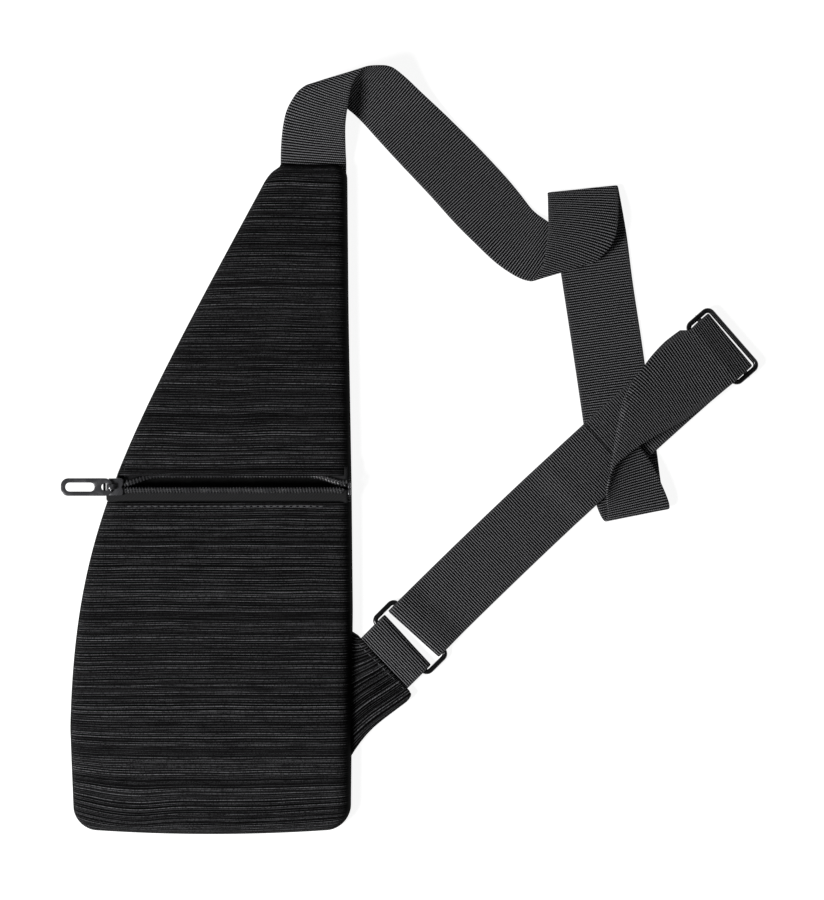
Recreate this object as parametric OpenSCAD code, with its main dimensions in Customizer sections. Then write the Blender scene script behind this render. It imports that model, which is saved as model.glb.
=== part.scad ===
// Sling bag lying on its back: a tapered pouch with a zip across its front, a webbing strap
// sewn to its top, a wire adjuster on the strap and a wire ring that joins it to a wing tab.
// X is across the bag, Y runs towards the strap's end, Z is up from the back face.

/* [Bag] */
// Width of the bag at its lower end
bag_width = 155; // [140:1:190]
// Length of the bag, without the strap
bag_length = 367; // [330:1:445]
// Thickness of the bag where its front is flat
bag_depth = 14; // [13:0.1:18]
// Thickness of the outer fabric
fabric = 1.2; // [1:0.1:1.4]
// Thickness of the padding in the back
padding = 2.6; // [1.5:0.1:3.2]

/* [Zip] */
// Height of the zip's closed line above the bag's middle
zip_y = 7.1; // [0:0.1:30]
// Width of one row of coils
coil_width = 3.2; // [2.6:0.1:3.9]
// Height of a row of coils
coil_height = 2.2; // [1.8:0.1:2.7]
// Length of the slider along the zip
slider_size = 9.4; // [8.6:0.1:10.5]
// Length of the puller
puller_length = 27.8; // [20:0.1:34]
// Width of the puller
puller_width = 9.6; // [8:0.1:11]

/* [Strap] */
// Width of the webbing
webbing_width = 37.4; // [31:0.1:38]
// Thickness of the webbing
webbing = 1.3; // [1:0.05:1.6]

/* [Hardware] */
// Diameter of the wire of the ring and the adjuster
wire = 2.8; // [2.3:0.1:3.4]
// Room beside the webbing, at each side, inside the ring and the adjuster
side_clearance = 0.7; // [0.6:0.1:2]
// Outer length of the ring and the adjuster along the strap
frame_length = 18.6; // [17.8:0.1:21]

/* [Hidden] */
$fn = 48;

fabric_color = [0.06, 0.06, 0.065];
lining_color = [0.03, 0.03, 0.03];
webbing_color = [0.09, 0.09, 0.095];
metal_color = [0.02, 0.02, 0.022];
thread_color = [0.12, 0.12, 0.12];

inner_width = webbing_width + 2 * side_clearance;
half_width = bag_width / 2;
half_length = bag_length / 2;
back = 1;
lining = 0.5;
gap = 0.3;
bottom_corner = 13;
top_corner = 7;
padding_top = back + padding;
front_under = bag_depth - fabric;

// ---- small helpers ----
function arc_points(cx, cy, r, from, to, n) =
    [for (i = [0:n]) let (a = from + (to - from) * i / n) [cx + r * cos(a), cy + r * sin(a)]];
function bezier(p, t) = pow(1 - t, 3) * p[0] + 3 * pow(1 - t, 2) * t * p[1]
    + 3 * (1 - t) * t * t * p[2] + pow(t, 3) * p[3];
function unit(v) = v / norm(v);
function spline(a, b, c, d, t) = 0.5 * (2 * b + (c - a) * t + (2 * a - 5 * b + 4 * c - d) * t * t
    + (3 * b - a - 3 * c + d) * t * t * t);
function smoothed(p, n) = [for (i = [0:len(p) - 2]) for (k = [0:n - 1])
    spline(p[max(i - 1, 0)], p[i], p[i + 1], p[min(i + 2, len(p) - 1)], k / n), p[len(p) - 1]];

// ---- outline of the bag, set in by a distance ----
curve = [[34, half_length], [-48, half_length - 152], [-75 * bag_width / 155, -13], [-half_width, -125]];
function curve_point(t, inset) = let (a = bezier(curve, t), b = bezier(curve, t + 0.001),
    along = unit(b - a)) a + inset * [-along[1], along[0]];
function bag_outline(inset) = let (
    r = max(bottom_corner - inset, 3),
    q = max(top_corner - inset, 2),
    left = [for (i = [0:18]) curve_point(i / 18 * 0.999, inset)])
    concat(
        arc_points(inset + r - half_width, inset + r - half_length, r, 180, 270, 5),
        arc_points(half_width - inset - r, inset + r - half_length, r, 270, 360, 5),
        [[half_width - inset, -60], [half_width - 0.7 - inset, 10], [half_width - 2.3 - inset, 100]],
        arc_points(half_width - 3 - inset - q, half_length - inset - q, q, 0, 90, 4),
        [for (p = left) [p[0], min(p[1], half_length - inset)]]);

// Rings of the front's rounded shape: how far in, and how high
front_profile = [[0, back], [0.3, 5], [1.2, bag_depth - 5], [3, bag_depth - 2],
    [5.5, bag_depth - 0.6], [9, bag_depth]];

// A closed solid through rings of points, one ring at each height
module loft(rings) {
    n = len(rings[0]);
    count = len(rings);
    points = [for (ring = rings) each ring];
    sides = [for (k = [0:count - 2]) for (i = [0:n - 1]) let (j = (i + 1) % n)
        [k * n + i, (k + 1) * n + i, (k + 1) * n + j, k * n + j]];
    polyhedron(points, concat([[for (i = [0:n - 1]) i]], sides,
        [[for (i = [n - 1:-1:0]) (count - 1) * n + i]]));
}
module front_form(inset, bottom) {
    loft([for (i = [0:len(front_profile) - 1]) let (p = front_profile[i])
        [for (q = bag_outline(p[0] + inset)) [q[0], q[1], i == 0 ? bottom : p[1] - inset]]]);
}
module front_shell() {
    difference() {
        front_form(0, back);
        front_form(fabric, 0);
        strap_slot();
    }
}
// The strap is laid out for this width and thickness of webbing, and scales from them
laid_width = 37.4;
laid_webbing = 1.3;
thickening = webbing / laid_webbing;
// Middle of the strap where it enters the top seam
seam_x = 56;
seam_y = 178;
seam_z = padding_top + lining + 0.45 + webbing / 2;
module strap_slot() {
    translate(strap_shift)
        translate([seam_x - webbing_width / 2 - 1, seam_y, seam_z - webbing / 2 - 0.1])
            cube([webbing_width + 2, 10, 1.7 * webbing]);
}
module above(y) {
    translate([-bag_width, y, -5])
        cube([2 * bag_width, bag_length, 60]);
}
module below(y) {
    translate([-bag_width, y - bag_length, -5])
        cube([2 * bag_width, bag_length, 60]);
}

// ---- bag body ----
module back_panel() {
    color(fabric_color) linear_extrude(back) polygon(bag_outline(0));
}
module back_padding() {
    color(lining_color)
        translate([0, 0, back])
            linear_extrude(padding) polygon(bag_outline(4));
}
module back_lining() {
    color(lining_color)
        translate([0, 0, padding_top])
            linear_extrude(lining) polygon(bag_outline(3));
}
lip_wall = 1;
half_slider = coil_width + 0.2 + gap + lip_wall;
lower_hem = zip_y - half_slider - 3.5;
upper_hem = zip_y + half_slider + 1.2;
tape = 0.6;
tape_z = front_under - 0.1 - tape;
under_plate = 0.9;
gusset_top = tape_z - gap - under_plate - 0.4;
module front_lower_panel() {
    color(fabric_color)
        intersection() {
            front_shell();
            below(lower_hem);
        }
}
module front_upper_panel() {
    color(fabric_color)
        intersection() {
            front_shell();
            union() {
                above(upper_hem);
                translate([-bag_width, lower_hem, -5])
                    cube([2 * bag_width, upper_hem - lower_hem + 1, gusset_top + 5]);
            }
        }
}
lining_z = front_under - gap - 0.5 - lining;
// How far left the bag reaches at a height
function left_edge(y) = min([for (i = [0:200]) let (p = bezier(curve, i / 200)) if (p[1] >= y) p[0]]);
module front_lower_lining() {
    color(lining_color)
        intersection() {
            translate([0, 0, lining_z]) linear_extrude(lining) polygon(bag_outline(8));
            below(lower_hem - 6);
        }
}
module front_upper_lining() {
    color(lining_color)
        intersection() {
            translate([0, 0, lining_z]) linear_extrude(lining) polygon(bag_outline(8));
            above(upper_hem + 9);
        }
}

// ---- zip ----
coil_z = tape_z + tape;
zip_left = left_edge(zip_y) - 2.4;
zip_right = half_width - 2.5;
// Left free at the closed end, past the slider's last position
end_room = 6.2;
zip_travel = zip_right - zip_left - slider_size - end_room;
lip_shift = 7.83;
lip_start = zip_left + slider_size + 3.6;
lip_length = zip_travel - 8.4;
lip_open = lip_shift * [0, 0.6, -0.8];
lower_coil_y = zip_y - 0.2 - coil_width;
upper_coil_y = zip_y + 0.2;
module zip_tape_lower() {
    color(fabric_color)
        translate([0, 0, tape_z]) {
            translate([zip_left, lower_hem + 0.2, 0])
                cube([zip_right - zip_left, zip_y - 0.2 - lower_hem - 0.2, tape]);
            translate([zip_left + 11, lower_hem - 5, 0])
                cube([zip_right - zip_left - 22, 5.2, tape]);
        }
}
module zip_coil_lower() {
    color(metal_color)
        translate([zip_left, lower_coil_y, coil_z])
            cube([zip_right - zip_left, coil_width, coil_height]);
}
module zip_tape_upper() {
    color(fabric_color)
        translate(lip_open + [lip_start, upper_coil_y, tape_z])
            cube([lip_length, 9, tape]);
}
module zip_coil_upper() {
    color(metal_color)
        translate(lip_open + [lip_start, upper_coil_y, coil_z])
            cube([lip_length, coil_width, coil_height]);
}
module zip_bottom_stop() {
    color(metal_color)
        translate([zip_left - 1.5, lower_coil_y, coil_z])
            cube([1.4, 2 * coil_width + 0.4, coil_height]);
}
module zip_top_stops() {
    color(metal_color) {
        translate([zip_right + 0.1, lower_coil_y, coil_z - 0.4])
            cube([1.5, coil_width, coil_height + 0.4]);
        translate([zip_right + 0.1, upper_coil_y, coil_z - 0.4])
            cube([1.5, coil_width, coil_height + 0.4]);
    }
}
stitch_pitch = 3.6;
module stitch_row(count, length) {
    for (i = [0:count - 1])
        translate([i * stitch_pitch, 0, 0])
            cube([length, 0.5, 0.4]);
}
module lip_topstitch() {
    color(thread_color)
        translate([zip_left + 12, lower_hem - 2.4, bag_depth])
            stitch_row(floor((zip_right - zip_left - 24) / stitch_pitch), 2.8);
}

// ---- slider and puller ----
plate = 1;
slider_left = zip_left + 0.2;
top_plate_z = coil_z + coil_height + gap;
pivot_x = slider_left + 3;
pivot_z = top_plate_z + plate + 1.3;
module slider_body() {
    color(metal_color)
        translate([slider_left, zip_y, 0]) {
            translate([0, -half_slider, top_plate_z])
                cube([slider_size, 2 * half_slider, plate]);
            for (side = [-half_slider, half_slider - lip_wall])
                translate([0, side, coil_z + gap])
                    cube([slider_size, lip_wall, coil_height]);
            translate([slider_size - 3.2, 0.1, tape_z - gap - 0.1])
                cube([2.4, 1.2, coil_height + tape + 2 * gap + 0.2]);
            translate([0, -half_slider, tape_z - gap - under_plate])
                cube([slider_size, 2 * half_slider, under_plate]);
        }
}
module slider_bridge() {
    color(metal_color) {
        for (side = [-2.8, 1.6])
            translate([pivot_x + side, zip_y - 1.3, top_plate_z + plate])
                cube([1.2, 2.6, 2.7]);
        translate([pivot_x - 2.8, zip_y - 1.3, top_plate_z + plate + 2.6])
            cube([5.6, 2.6, 1]);
    }
}
eye_r = 2.3;
puller_thick = 1.4;
puller_corner = 4;
puller_end = pivot_x + 0.6;
puller_tip = puller_end - puller_length;
// Slot in the puller: its half-width, and where it starts and ends
slot_r = 2.4;
slot_from = puller_tip + 2.4;
slot_to = puller_tip + puller_length * 0.57 + slot_r;
neck = 4.4;
module puller_outline() {
    for (side = [-1, 1])
        for (x = [puller_tip + puller_corner, puller_end - puller_corner])
            translate([x, side * (puller_width / 2 - puller_corner)]) circle(puller_corner);
    translate([puller_tip + puller_corner, -puller_width / 2])
        square([puller_length - 2 * puller_corner, puller_width]);
    translate([puller_tip, puller_corner - puller_width / 2])
        square([puller_length, puller_width - 2 * puller_corner]);
}
module zip_puller() {
    color(metal_color)
        translate([0, zip_y, pivot_z]) {
            translate([0, 0, -puller_thick / 2])
                linear_extrude(puller_thick)
                    difference() {
                        puller_outline();
                        translate([puller_end - 1.2 - eye_r, 0]) circle(eye_r);
                        translate([puller_end - 2, -neck / 2]) square([3, neck]);
                        for (x = [slot_from + slot_r, slot_to - slot_r])
                            translate([x, 0]) circle(slot_r);
                        translate([slot_from + slot_r, -slot_r])
                            square([slot_to - slot_from - 2 * slot_r, 2 * slot_r]);
                    }
            translate([pivot_x, 0, 0]) rotate([90, 0, 0])
                cylinder(d = puller_thick, h = neck + 1, center = true);
        }
}

// ---- the strap's frame: the run between the ring and the adjuster bends a little ----
strap_shift = [half_width - 77.5, half_length - 183.5, 0];
ring_at = [109, -75.5];
ring_heading = 45;
adjuster_heading = 41;
ring_to_adjuster = 234;
bend_radius = ring_to_adjuster / ((ring_heading - adjuster_heading) * PI / 180);
function heading(s) = ring_heading - s / bend_radius * 180 / PI;
function centre_at(s) = ring_at + bend_radius
    * [sin(ring_heading) - sin(heading(s)), cos(heading(s)) - cos(ring_heading)];
function along_strap(s, side, z) = let (c = centre_at(s), h = heading(s))
    [c[0] - side * sin(h), c[1] + side * cos(h), z];
bar_offset = (frame_length - wire) / 2;
rail = webbing_width / 2;
floor_gap = 0.25;
loop_gap = 0.35;
loop_r = wire / 2 + loop_gap + webbing / 2;
ring_z = floor_gap + webbing / 2 + loop_r;
low_z = floor_gap + webbing / 2;
layer = webbing + 0.15;
// Height of the strap's lower layer, which climbs over the run that crosses below it and
// stays up as far as the adjuster
crossing = [106, 121];
// Height at which the run below reaches the edge of the layer that crosses it
crossing_z = 1.25 * thickening;
crossing_rise = crossing_z + webbing + 0.05 - low_z;
function ramp(s, from, to) = let (t = max(0, min(1, (s - from) / (to - from)))) t * t * (3 - 2 * t);
function lower_z(s) = low_z + crossing_rise * ramp(s, crossing[0], crossing[1]);
cut_at = 150;

// Rungs of a run of webbing, as pairs of points on its two edges
function straight_rungs(path) = [for (p = path)
    [along_strap(p[0], -rail, p[1]), along_strap(p[0], rail, p[1])]];
// A laid rung, made as wide as the webbing and as high as its thickness needs
function rung_scale(r) = let (m = (r[0] + r[1]) / 2, k = webbing_width / laid_width,
    up = [1, 1, thickening]) [for (p = r) [for (i = [0:2]) (m[i] + (p[i] - m[i]) * k) * up[i]]];
function middle(r) = (r[0] + r[1]) / 2;

// A closed strip of webbing through its rungs
module strip(rungs) {
    n = len(rungs);
    normals = [for (i = [0:n - 1]) let (a = rungs[max(i - 1, 0)], b = rungs[min(i + 1, n - 1)])
        unit(cross(middle(b) - middle(a), rungs[i][1] - rungs[i][0])) * webbing / 2];
    points = [for (i = [0:n - 1]) each [rungs[i][0] + normals[i], rungs[i][1] + normals[i],
        rungs[i][1] - normals[i], rungs[i][0] - normals[i]]];
    sides = [for (i = [0:n - 2]) for (k = [0:3]) let (m = (k + 1) % 4)
        each [[4 * i + k, 4 * i + m, 4 * i + 4 + m], [4 * i + k, 4 * i + 4 + m, 4 * i + 4 + k]]];
    last = 4 * (n - 1);
    polyhedron(points, concat([[3, 2, 1, 0]], sides, [[last, last + 1, last + 2, last + 3]]));
}

// ---- hand-laid runs of the strap: left and right edge at each rung ----
top_run = [
    [[38, seam_y + 0.4, seam_z / thickening], [74, seam_y + 0.4, seam_z / thickening]],
    [[38, 184.5, (seam_z + 0.4) / thickening], [74, 184.5, (seam_z + 0.4) / thickening]],
    [[38.4, 193.6, 8.5], [73.7, 193.5, 9]],
    [[39.6, 203.5, 12], [73.8, 204.8, 13.5]],
    [[41.7, 211.6, 15], [75.4, 215.1, 18]],
    [[45.3, 218.1, 17.5], [77.5, 224.4, 21.5]],
    [[48.8, 222.4, 18.5], [81, 230, 23.5]],
    [[53.2, 225, 17.5], [85.4, 233.9, 23.5]],
    [[57.5, 225.1, 14], [92.3, 235.3, 21]],
    [[63.8, 221.8, 9], [99.1, 235.1, 16.5]],
    [[71.1, 217, 4.8], [106.5, 230.5, 11]],
    [[80.5, 209.5, 2], [115.5, 222.8, 6]],
    [[91.5, 197.5, 1], [125.5, 214, 2.8]],
    [[103.5, 184.5, 0.9], [135, 205, 1.2]],
    [[120, 167, 0.9], [147.5, 192.5, 0.9]],
    [[133.5, 152, 0.9], [161, 178, 0.9]],
];
middle_run = [
    [[133.75, 151.75, 0.9], [161.25, 177.75, 0.9]],
    [[144.5, 141, 0.9], [169, 168.5, 0.9]],
    [[155, 131, 1.2], [176.5, 159, 1.2]],
    [[163, 125, 2.2], [183.5, 153.5, 2.3]],
    [[169, 121.5, 4], [192, 147.5, 3]],
    [[173, 120, 6.2], [200, 140.5, 3.8]],
    [[176, 120, 8], [209, 130.5, 6]],
    [[179.5, 124, 10], [214, 133.5, 8]],
    [[182, 130.5, 11], [218, 138, 9.5]],
    [[183.5, 139, 10.5], [221, 143.5, 10.2]],
    [[184.5, 148, 9], [222.5, 151.5, 9.5]],
    [[184.5, 157.5, 6.5], [223, 161, 7]],
    [[184.5, 166, 3.8], [223, 170, 3.9]],
    [[184.5, 168, 2.2], [223, 172, 2.2]],
    [[185, 164.5, 0.9], [224, 168.5, 0.9]],
    [[189, 142.5, 0.9], [228, 145.5, 0.9]],
    [[193.5, 113.5, 0.9], [231.5, 118.5, 0.9]],
    [[199, 77.5, 0.9], [237, 82, 0.9]],
    [[204, 43.5, 0.9], [241.5, 48.5, 0.9]],
    [[208, 16, 0.9], [245, 23.5, 0.9]],
];
front_run = [
    [[208.05, 15.65, 0.9], [245.05, 23.15, 0.9]],
    [[210.5, 0.5, 0.95], [247, 8.5, 1]],
    [[213, -7.5, 2.2], [249, 0.5, 1.8]],
    [[215.5, -11.5, 4.4], [251, -4.5, 4.2]],
    [[217, -9.5, 6.8], [250.5, -1, 6.4]],
    [[217, -5, 8.5], [247, 7.5, 7.4]],
    [[216.5, -2, 10], [241, 20, 7.4]],
    [[216.5, 0.5, 11.6], [232.5, 32, 8]],
    [[216, 3, 13.2], [225, 41.5, 10.5]],
    [[216.5, 7, 14.6], [224, 48, 13]],
    [[218, 12.5, 15.6], [225, 53.5, 14.6]],
    [[220.5, 18.5, 16], [227.5, 59.5, 15.3]],
    [[227, 24.5, 15.8], [230.5, 65.5, 15.4]],
    [[236, 31, 15], [235, 71, 15]],
    [[246.5, 37, 14], [240, 78, 14.2]],
    [[257.5, 43, 13], [247.5, 86, 13.2]],
    [[267.5, 49.5, 12.2], [256, 92.5, 12.3]],
];

module strap_top_run() {
    color(webbing_color)
        translate(strap_shift)
            strip(smoothed([for (r = top_run) rung_scale(r)], 2));
}
module strap_middle_run() {
    color(webbing_color)
        translate(strap_shift)
            strip(smoothed([for (r = middle_run) rung_scale(r)], 2));
}

// ---- adjuster: paths are given from its centre bar, along the strap and up ----
bar_gap = 0.3;
wrap_r = wire / 2 + 0.2 + webbing / 2;
pass_r = wrap_r + webbing + 0.2;
over_r = wire / 2 + bar_gap + webbing / 2;
bar_z = low_z + pass_r + 0.25;
// Radius of each layer of webbing where it bends over the outer bar, from the lowest up
function over_layer(k) = over_r + k * (layer + 0.05);
// The lowest layer's slant down behind the outer bar, and the rise from one layer to the next
slant = [[-14, 0], [-20, low_z + crossing_rise - bar_z]];
slant_layer = layer * 1.16;
function slanted(k) = [for (p = slant) p + [0, k * slant_layer]];
function at_adjuster(path) = [for (p = path) [ring_to_adjuster + p[0], bar_z + p[1]]];
// Angles at which straight stretches leave the centre bar, to cross under and pass over
cross_angle = acos((pass_r + over_r) / bar_offset);
function over_angle(outer, inner) = 90 - asin((outer - inner) / bar_offset);
arrive_angle = over_angle(over_layer(3), pass_r);
sliding_path = concat(
    arc_points(-bar_offset, 0, over_layer(3), 95, arrive_angle, 2),
    arc_points(0, 0, pass_r, arrive_angle, -180 + cross_angle, 9),
    arc_points(-bar_offset, 0, over_r, cross_angle, 110, 4),
    slanted(0), [[-26, low_z + crossing_rise - bar_z]]);
far_lower = [for (s = [200, 190, 182, 174, 162, cut_at]) [s, lower_z(s)]];
laid_front = smoothed([for (r = front_run) rung_scale(r)], 2);
module strap_front_run() {
    color(webbing_color)
        translate(strap_shift)
            strip(laid_front);
}
// The pass starts just past the laid run's end
pass_start = let (r = laid_front[len(laid_front) - 1], a = heading(ring_to_adjuster))
    [for (p = r) p + 0.35 * [cos(a), sin(a), 0]];
module strap_adjuster_pass() {
    color(webbing_color)
        translate(strap_shift)
            strip(concat([pass_start], straight_rungs(concat(at_adjuster(sliding_path), far_lower))));
}
leave_angle = over_angle(over_layer(2), wrap_r);
sewn_path = concat(
    [[-34, low_z + crossing_rise + layer - bar_z], [-26, low_z + crossing_rise + 1.15 * layer - bar_z],
        slanted(2)[1], slanted(2)[0]],
    arc_points(-bar_offset, 0, over_layer(2), 110, leave_angle, 4),
    arc_points(0, 0, wrap_r, leave_angle, -180 + cross_angle, 8),
    arc_points(-bar_offset, 0, over_layer(1), cross_angle, 110, 4),
    [slanted(1)[0], slanted(1)[1] + [1, 0.3]]);
far_upper = [for (s = [cut_at, 162, 174, 182, 190]) [s, lower_z(s) + layer]];
module strap_sewn_end() {
    color(webbing_color)
        translate(strap_shift)
            strip(straight_rungs(concat(far_upper, at_adjuster(sewn_path))));
}
loop_corner = 2.8;
module wire_loop(length, width) {
    r = loop_corner;
    x = length / 2;
    y = width / 2;
    for (side = [-1, 1]) {
        translate([side * x, y - r, 0]) rotate([90, 0, 0]) cylinder(d = wire, h = width - 2 * r);
        translate([r - x, side * y, 0]) rotate([0, 90, 0]) cylinder(d = wire, h = length - 2 * r);
    }
    for (corner = [[x - r, y - r, 0], [r - x, y - r, 90], [r - x, r - y, 180], [x - r, r - y, 270]])
        translate([corner[0], corner[1], 0]) rotate([0, 0, corner[2]])
            rotate_extrude(angle = 90) translate([r, 0]) circle(d = wire);
}
loop_width = inner_width + wire;
module at_strap(s, z) {
    c = centre_at(s);
    translate(strap_shift + [c[0], c[1], z])
        rotate([0, 0, heading(s)])
            children();
}
module adjuster_frame() {
    color(metal_color)
        at_strap(ring_to_adjuster, bar_z)
            wire_loop(2 * bar_offset, loop_width);
}
knob_r = wire / 2 + side_clearance - 0.15;
knob_length = 3;
module adjuster_bar() {
    color(metal_color)
        at_strap(ring_to_adjuster, bar_z)
            difference() {
                union() {
                    rotate([90, 0, 0]) cylinder(d = wire, h = loop_width, center = true);
                    for (side = [-1, 1])
                        translate([0, side * loop_width / 2, 0])
                            rotate([0, 90, 0]) cylinder(r = knob_r, h = knob_length, center = true);
                }
                for (side = [-1, 1])
                    translate([0, side * loop_width / 2, 0])
                        rotate([0, 90, 0]) cylinder(d = wire + 0.1, h = 3 * knob_length, center = true);
            }
}

// ---- ring, its strap loop and the wing tab ----
module rectangular_ring() {
    color(metal_color)
        at_strap(0, ring_z)
            wire_loop(2 * bar_offset, loop_width);
}
function ring_turn(s, from, to) = arc_points(s, ring_z, loop_r, from, to, 12);
module strap_ring_loop() {
    lower = [for (s = [cut_at, 136, 122, 115, 108, 60, 20]) [s, lower_z(s)]];
    upper = [for (s = [60, 108, 115, 122, 136, cut_at]) [s, lower_z(s) + layer]];
    rise = [[4, 2 * loop_r - 0.2], [9, loop_r + 0.8], [14, layer + 0.35], [20, layer]];
    color(webbing_color)
        translate(strap_shift)
            strip(straight_rungs(concat(lower, ring_turn(bar_offset, -90, -270),
                [for (p = rise) [bar_offset + p[0], low_z + p[1]]], upper)));
}
wing_back = 0.9;
wing_under = floor_gap + wing_back + 0.15;
tab_low = wing_under + gap + webbing / 2;
tab_high = tab_low + layer + 0.05;
ring_top = ring_z + loop_r;
tab_rise = [tab_high + 0.2, ring_top - 1];
module anchor_webbing() {
    upper = [[-17, tab_high], [-12.6, tab_rise[0]], [-8, tab_rise[1]], [-4, ring_top - 0.3]];
    lower = [[-4, low_z + 0.15], [-8, low_z + 0.8], [-12.6, tab_low - 0.1], [-17, tab_low]];
    color(webbing_color)
        translate(strap_shift)
            strip(straight_rungs(concat([for (p = upper) [p[0] - bar_offset, p[1]]],
                ring_turn(-bar_offset, 90, -90),
                [for (p = lower) [p[0] - bar_offset, p[1]]])));
}
wing = [[77.7, -71.5], [80.3, -74.5], [107.3, -103.7], [109.5, -107.2], [106.7, -111.4],
    [93, -121.8], [85.8, -128.4], [79.8, -136], [77.7, -142.7]];
// The pocket is higher where the webbing leaves it more steeply
wing_pocket = tab_high + webbing / 2 + 0.298 + 0.07 * (tab_rise[1] - tab_rise[0]);
wing_top = wing_pocket + 0.85;
module wing_tab_front() {
    color(fabric_color)
        difference() {
            translate(strap_shift + [0, 0, wing_under])
                linear_extrude(wing_top - wing_under) polygon(wing);
            at_strap(-bar_offset - 18, 0)
                translate([0, -rail - 0.5, 0])
                    cube([20, webbing_width + 1, wing_pocket]);
        }
}
module wing_tab_back() {
    color(fabric_color)
        translate(strap_shift + [0, 0, floor_gap])
            linear_extrude(wing_back) polygon(wing);
}
module wing_stitching() {
    color(thread_color)
        at_strap(-bar_offset - 14.6, wing_top)
            rotate([0, 0, 90])
                translate([-5 * stitch_pitch + 0.4, 0, 0])
                    stitch_row(10, 2.8);
}

back_panel();
back_padding();
back_lining();
front_lower_panel();
front_lower_lining();
front_upper_panel();
front_upper_lining();
zip_tape_lower();
zip_coil_lower();
zip_tape_upper();
zip_coil_upper();
zip_bottom_stop();
zip_top_stops();
lip_topstitch();
slider_body();
slider_bridge();
zip_puller();
wing_tab_front();
wing_tab_back();
wing_stitching();
anchor_webbing();
rectangular_ring();
strap_top_run();
strap_middle_run();
strap_front_run();
strap_adjuster_pass();
strap_ring_loop();
strap_sewn_end();
adjuster_frame();
adjuster_bar();
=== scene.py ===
"""Builds a flat sling bag lying on its back, with an open front zip and a folded webbing strap."""

import math

import bmesh
import bpy
import numpy as np
from bpy.props import FloatProperty, FloatVectorProperty, PointerProperty
from mathutils import Matrix, Vector, noise


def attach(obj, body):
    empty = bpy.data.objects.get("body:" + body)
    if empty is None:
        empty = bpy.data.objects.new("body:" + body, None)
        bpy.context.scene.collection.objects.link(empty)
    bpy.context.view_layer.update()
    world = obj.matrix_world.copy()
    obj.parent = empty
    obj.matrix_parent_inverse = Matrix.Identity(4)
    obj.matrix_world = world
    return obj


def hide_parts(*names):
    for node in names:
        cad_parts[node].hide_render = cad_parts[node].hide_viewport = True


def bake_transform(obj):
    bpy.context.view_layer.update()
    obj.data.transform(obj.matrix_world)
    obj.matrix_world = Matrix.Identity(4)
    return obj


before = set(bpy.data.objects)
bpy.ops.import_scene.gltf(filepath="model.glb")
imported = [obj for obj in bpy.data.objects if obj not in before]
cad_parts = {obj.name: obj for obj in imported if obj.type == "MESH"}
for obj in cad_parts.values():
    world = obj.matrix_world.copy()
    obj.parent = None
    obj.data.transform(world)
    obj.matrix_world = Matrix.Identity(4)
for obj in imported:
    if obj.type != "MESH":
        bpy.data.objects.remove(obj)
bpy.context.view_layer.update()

bl_info = {
    "name": "Sling Bag",
    "version": (1, 0, 0),
    "blender": (4, 5, 0),
    "location": "3D View > Sidebar > Sling Bag",
    "description": "Builds a flat sling bag with an open front zip and a folded webbing strap",
    "category": "Add Mesh",
}

# Lengths below are in millimetres, and become metres where a mesh is made
MM = 0.001
HALF_WIDTH = 77.5
HALF_LENGTH = 183.5
DEPTH = 14.0
BACK = 1.0
EDGE_ROUND = 9.5
LOWER_HEM = -1.1
UPPER_HEM = 13.0
ZIP_Y = 7.1
ZIP_LEFT = -56.6
ZIP_RIGHT = 75.0
LIP_OPEN = (4.698, -6.264)
LIP_SPLIT = 9.5
LEFT_DIP = (-47.0, -29.0)
RIGHT_DIP = (75.0, 53.0)
COIL_PITCH = 1.65
PIVOT = (-53.4, 7.1, 17.5)
COIL_STEPS = 14
COIL_Z = 13.78
COIL_OVAL = 1.42
# Distances from an edge where points stand close together
NEAR_EDGE = [0, 0.1, 0.3, 0.6, 1.0, 1.6, 2.4, 3.4, 4.8, 6.6, 9.0]
# Edges that turn by more than this many radians are rounded
SHARP = 1.0

WEBBING = 1.3
RAIL = 18.7
WIRE = 1.4
FRAME_WIDTH = 41.6
FRAME_CORNER = 3.1
LAYER = 1.45
LOW_Z = 0.9
RING_AT = (109.0, -75.5)
RING_HEADING = 45.0
ADJUSTER_HEADING = 41.0
RING_TO_ADJUSTER = 234.0
BAR_OFFSET = 7.9
RING_Z = 3.3
BAR_Z = 4.9
LOOP_R = 2.4
WRAP_R = 2.25
PASS_R = 3.75
OVER_R = 2.35
CROSSING_RISE = 1.7
CUT_AT = 150.0
BEND_RADIUS = RING_TO_ADJUSTER / math.radians(RING_HEADING - ADJUSTER_HEADING)

TOP_RUN = [
    ((38, 178.4, 5.2), (74, 178.4, 5.2)), ((38, 184.5, 5.6), (74, 184.5, 5.6)),
    ((38.4, 193.6, 8.5), (73.7, 193.5, 9)), ((39.6, 203.5, 12), (73.8, 204.8, 13.5)),
    ((41.7, 211.6, 15), (75.4, 215.1, 18)), ((45.3, 218.1, 17.5), (77.5, 224.4, 21.5)),
    ((48.8, 222.4, 18.5), (81, 230, 23.5)), ((53.2, 225, 17.5), (85.4, 233.9, 23.5)),
    ((57.5, 225.1, 14), (92.3, 235.3, 21)), ((63.8, 221.8, 9), (99.1, 235.1, 16.5)),
    ((71.1, 217, 4.8), (106.5, 230.5, 11)), ((80.5, 209.5, 2), (115.5, 222.8, 6)),
    ((91.5, 197.5, 1), (125.5, 214, 2.8)), ((103.5, 184.5, 0.9), (135, 205, 1.2)),
    ((120, 167, 0.9), (147.5, 192.5, 0.9)), ((133.5, 152, 0.9), (161, 178, 0.9)),
]
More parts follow.
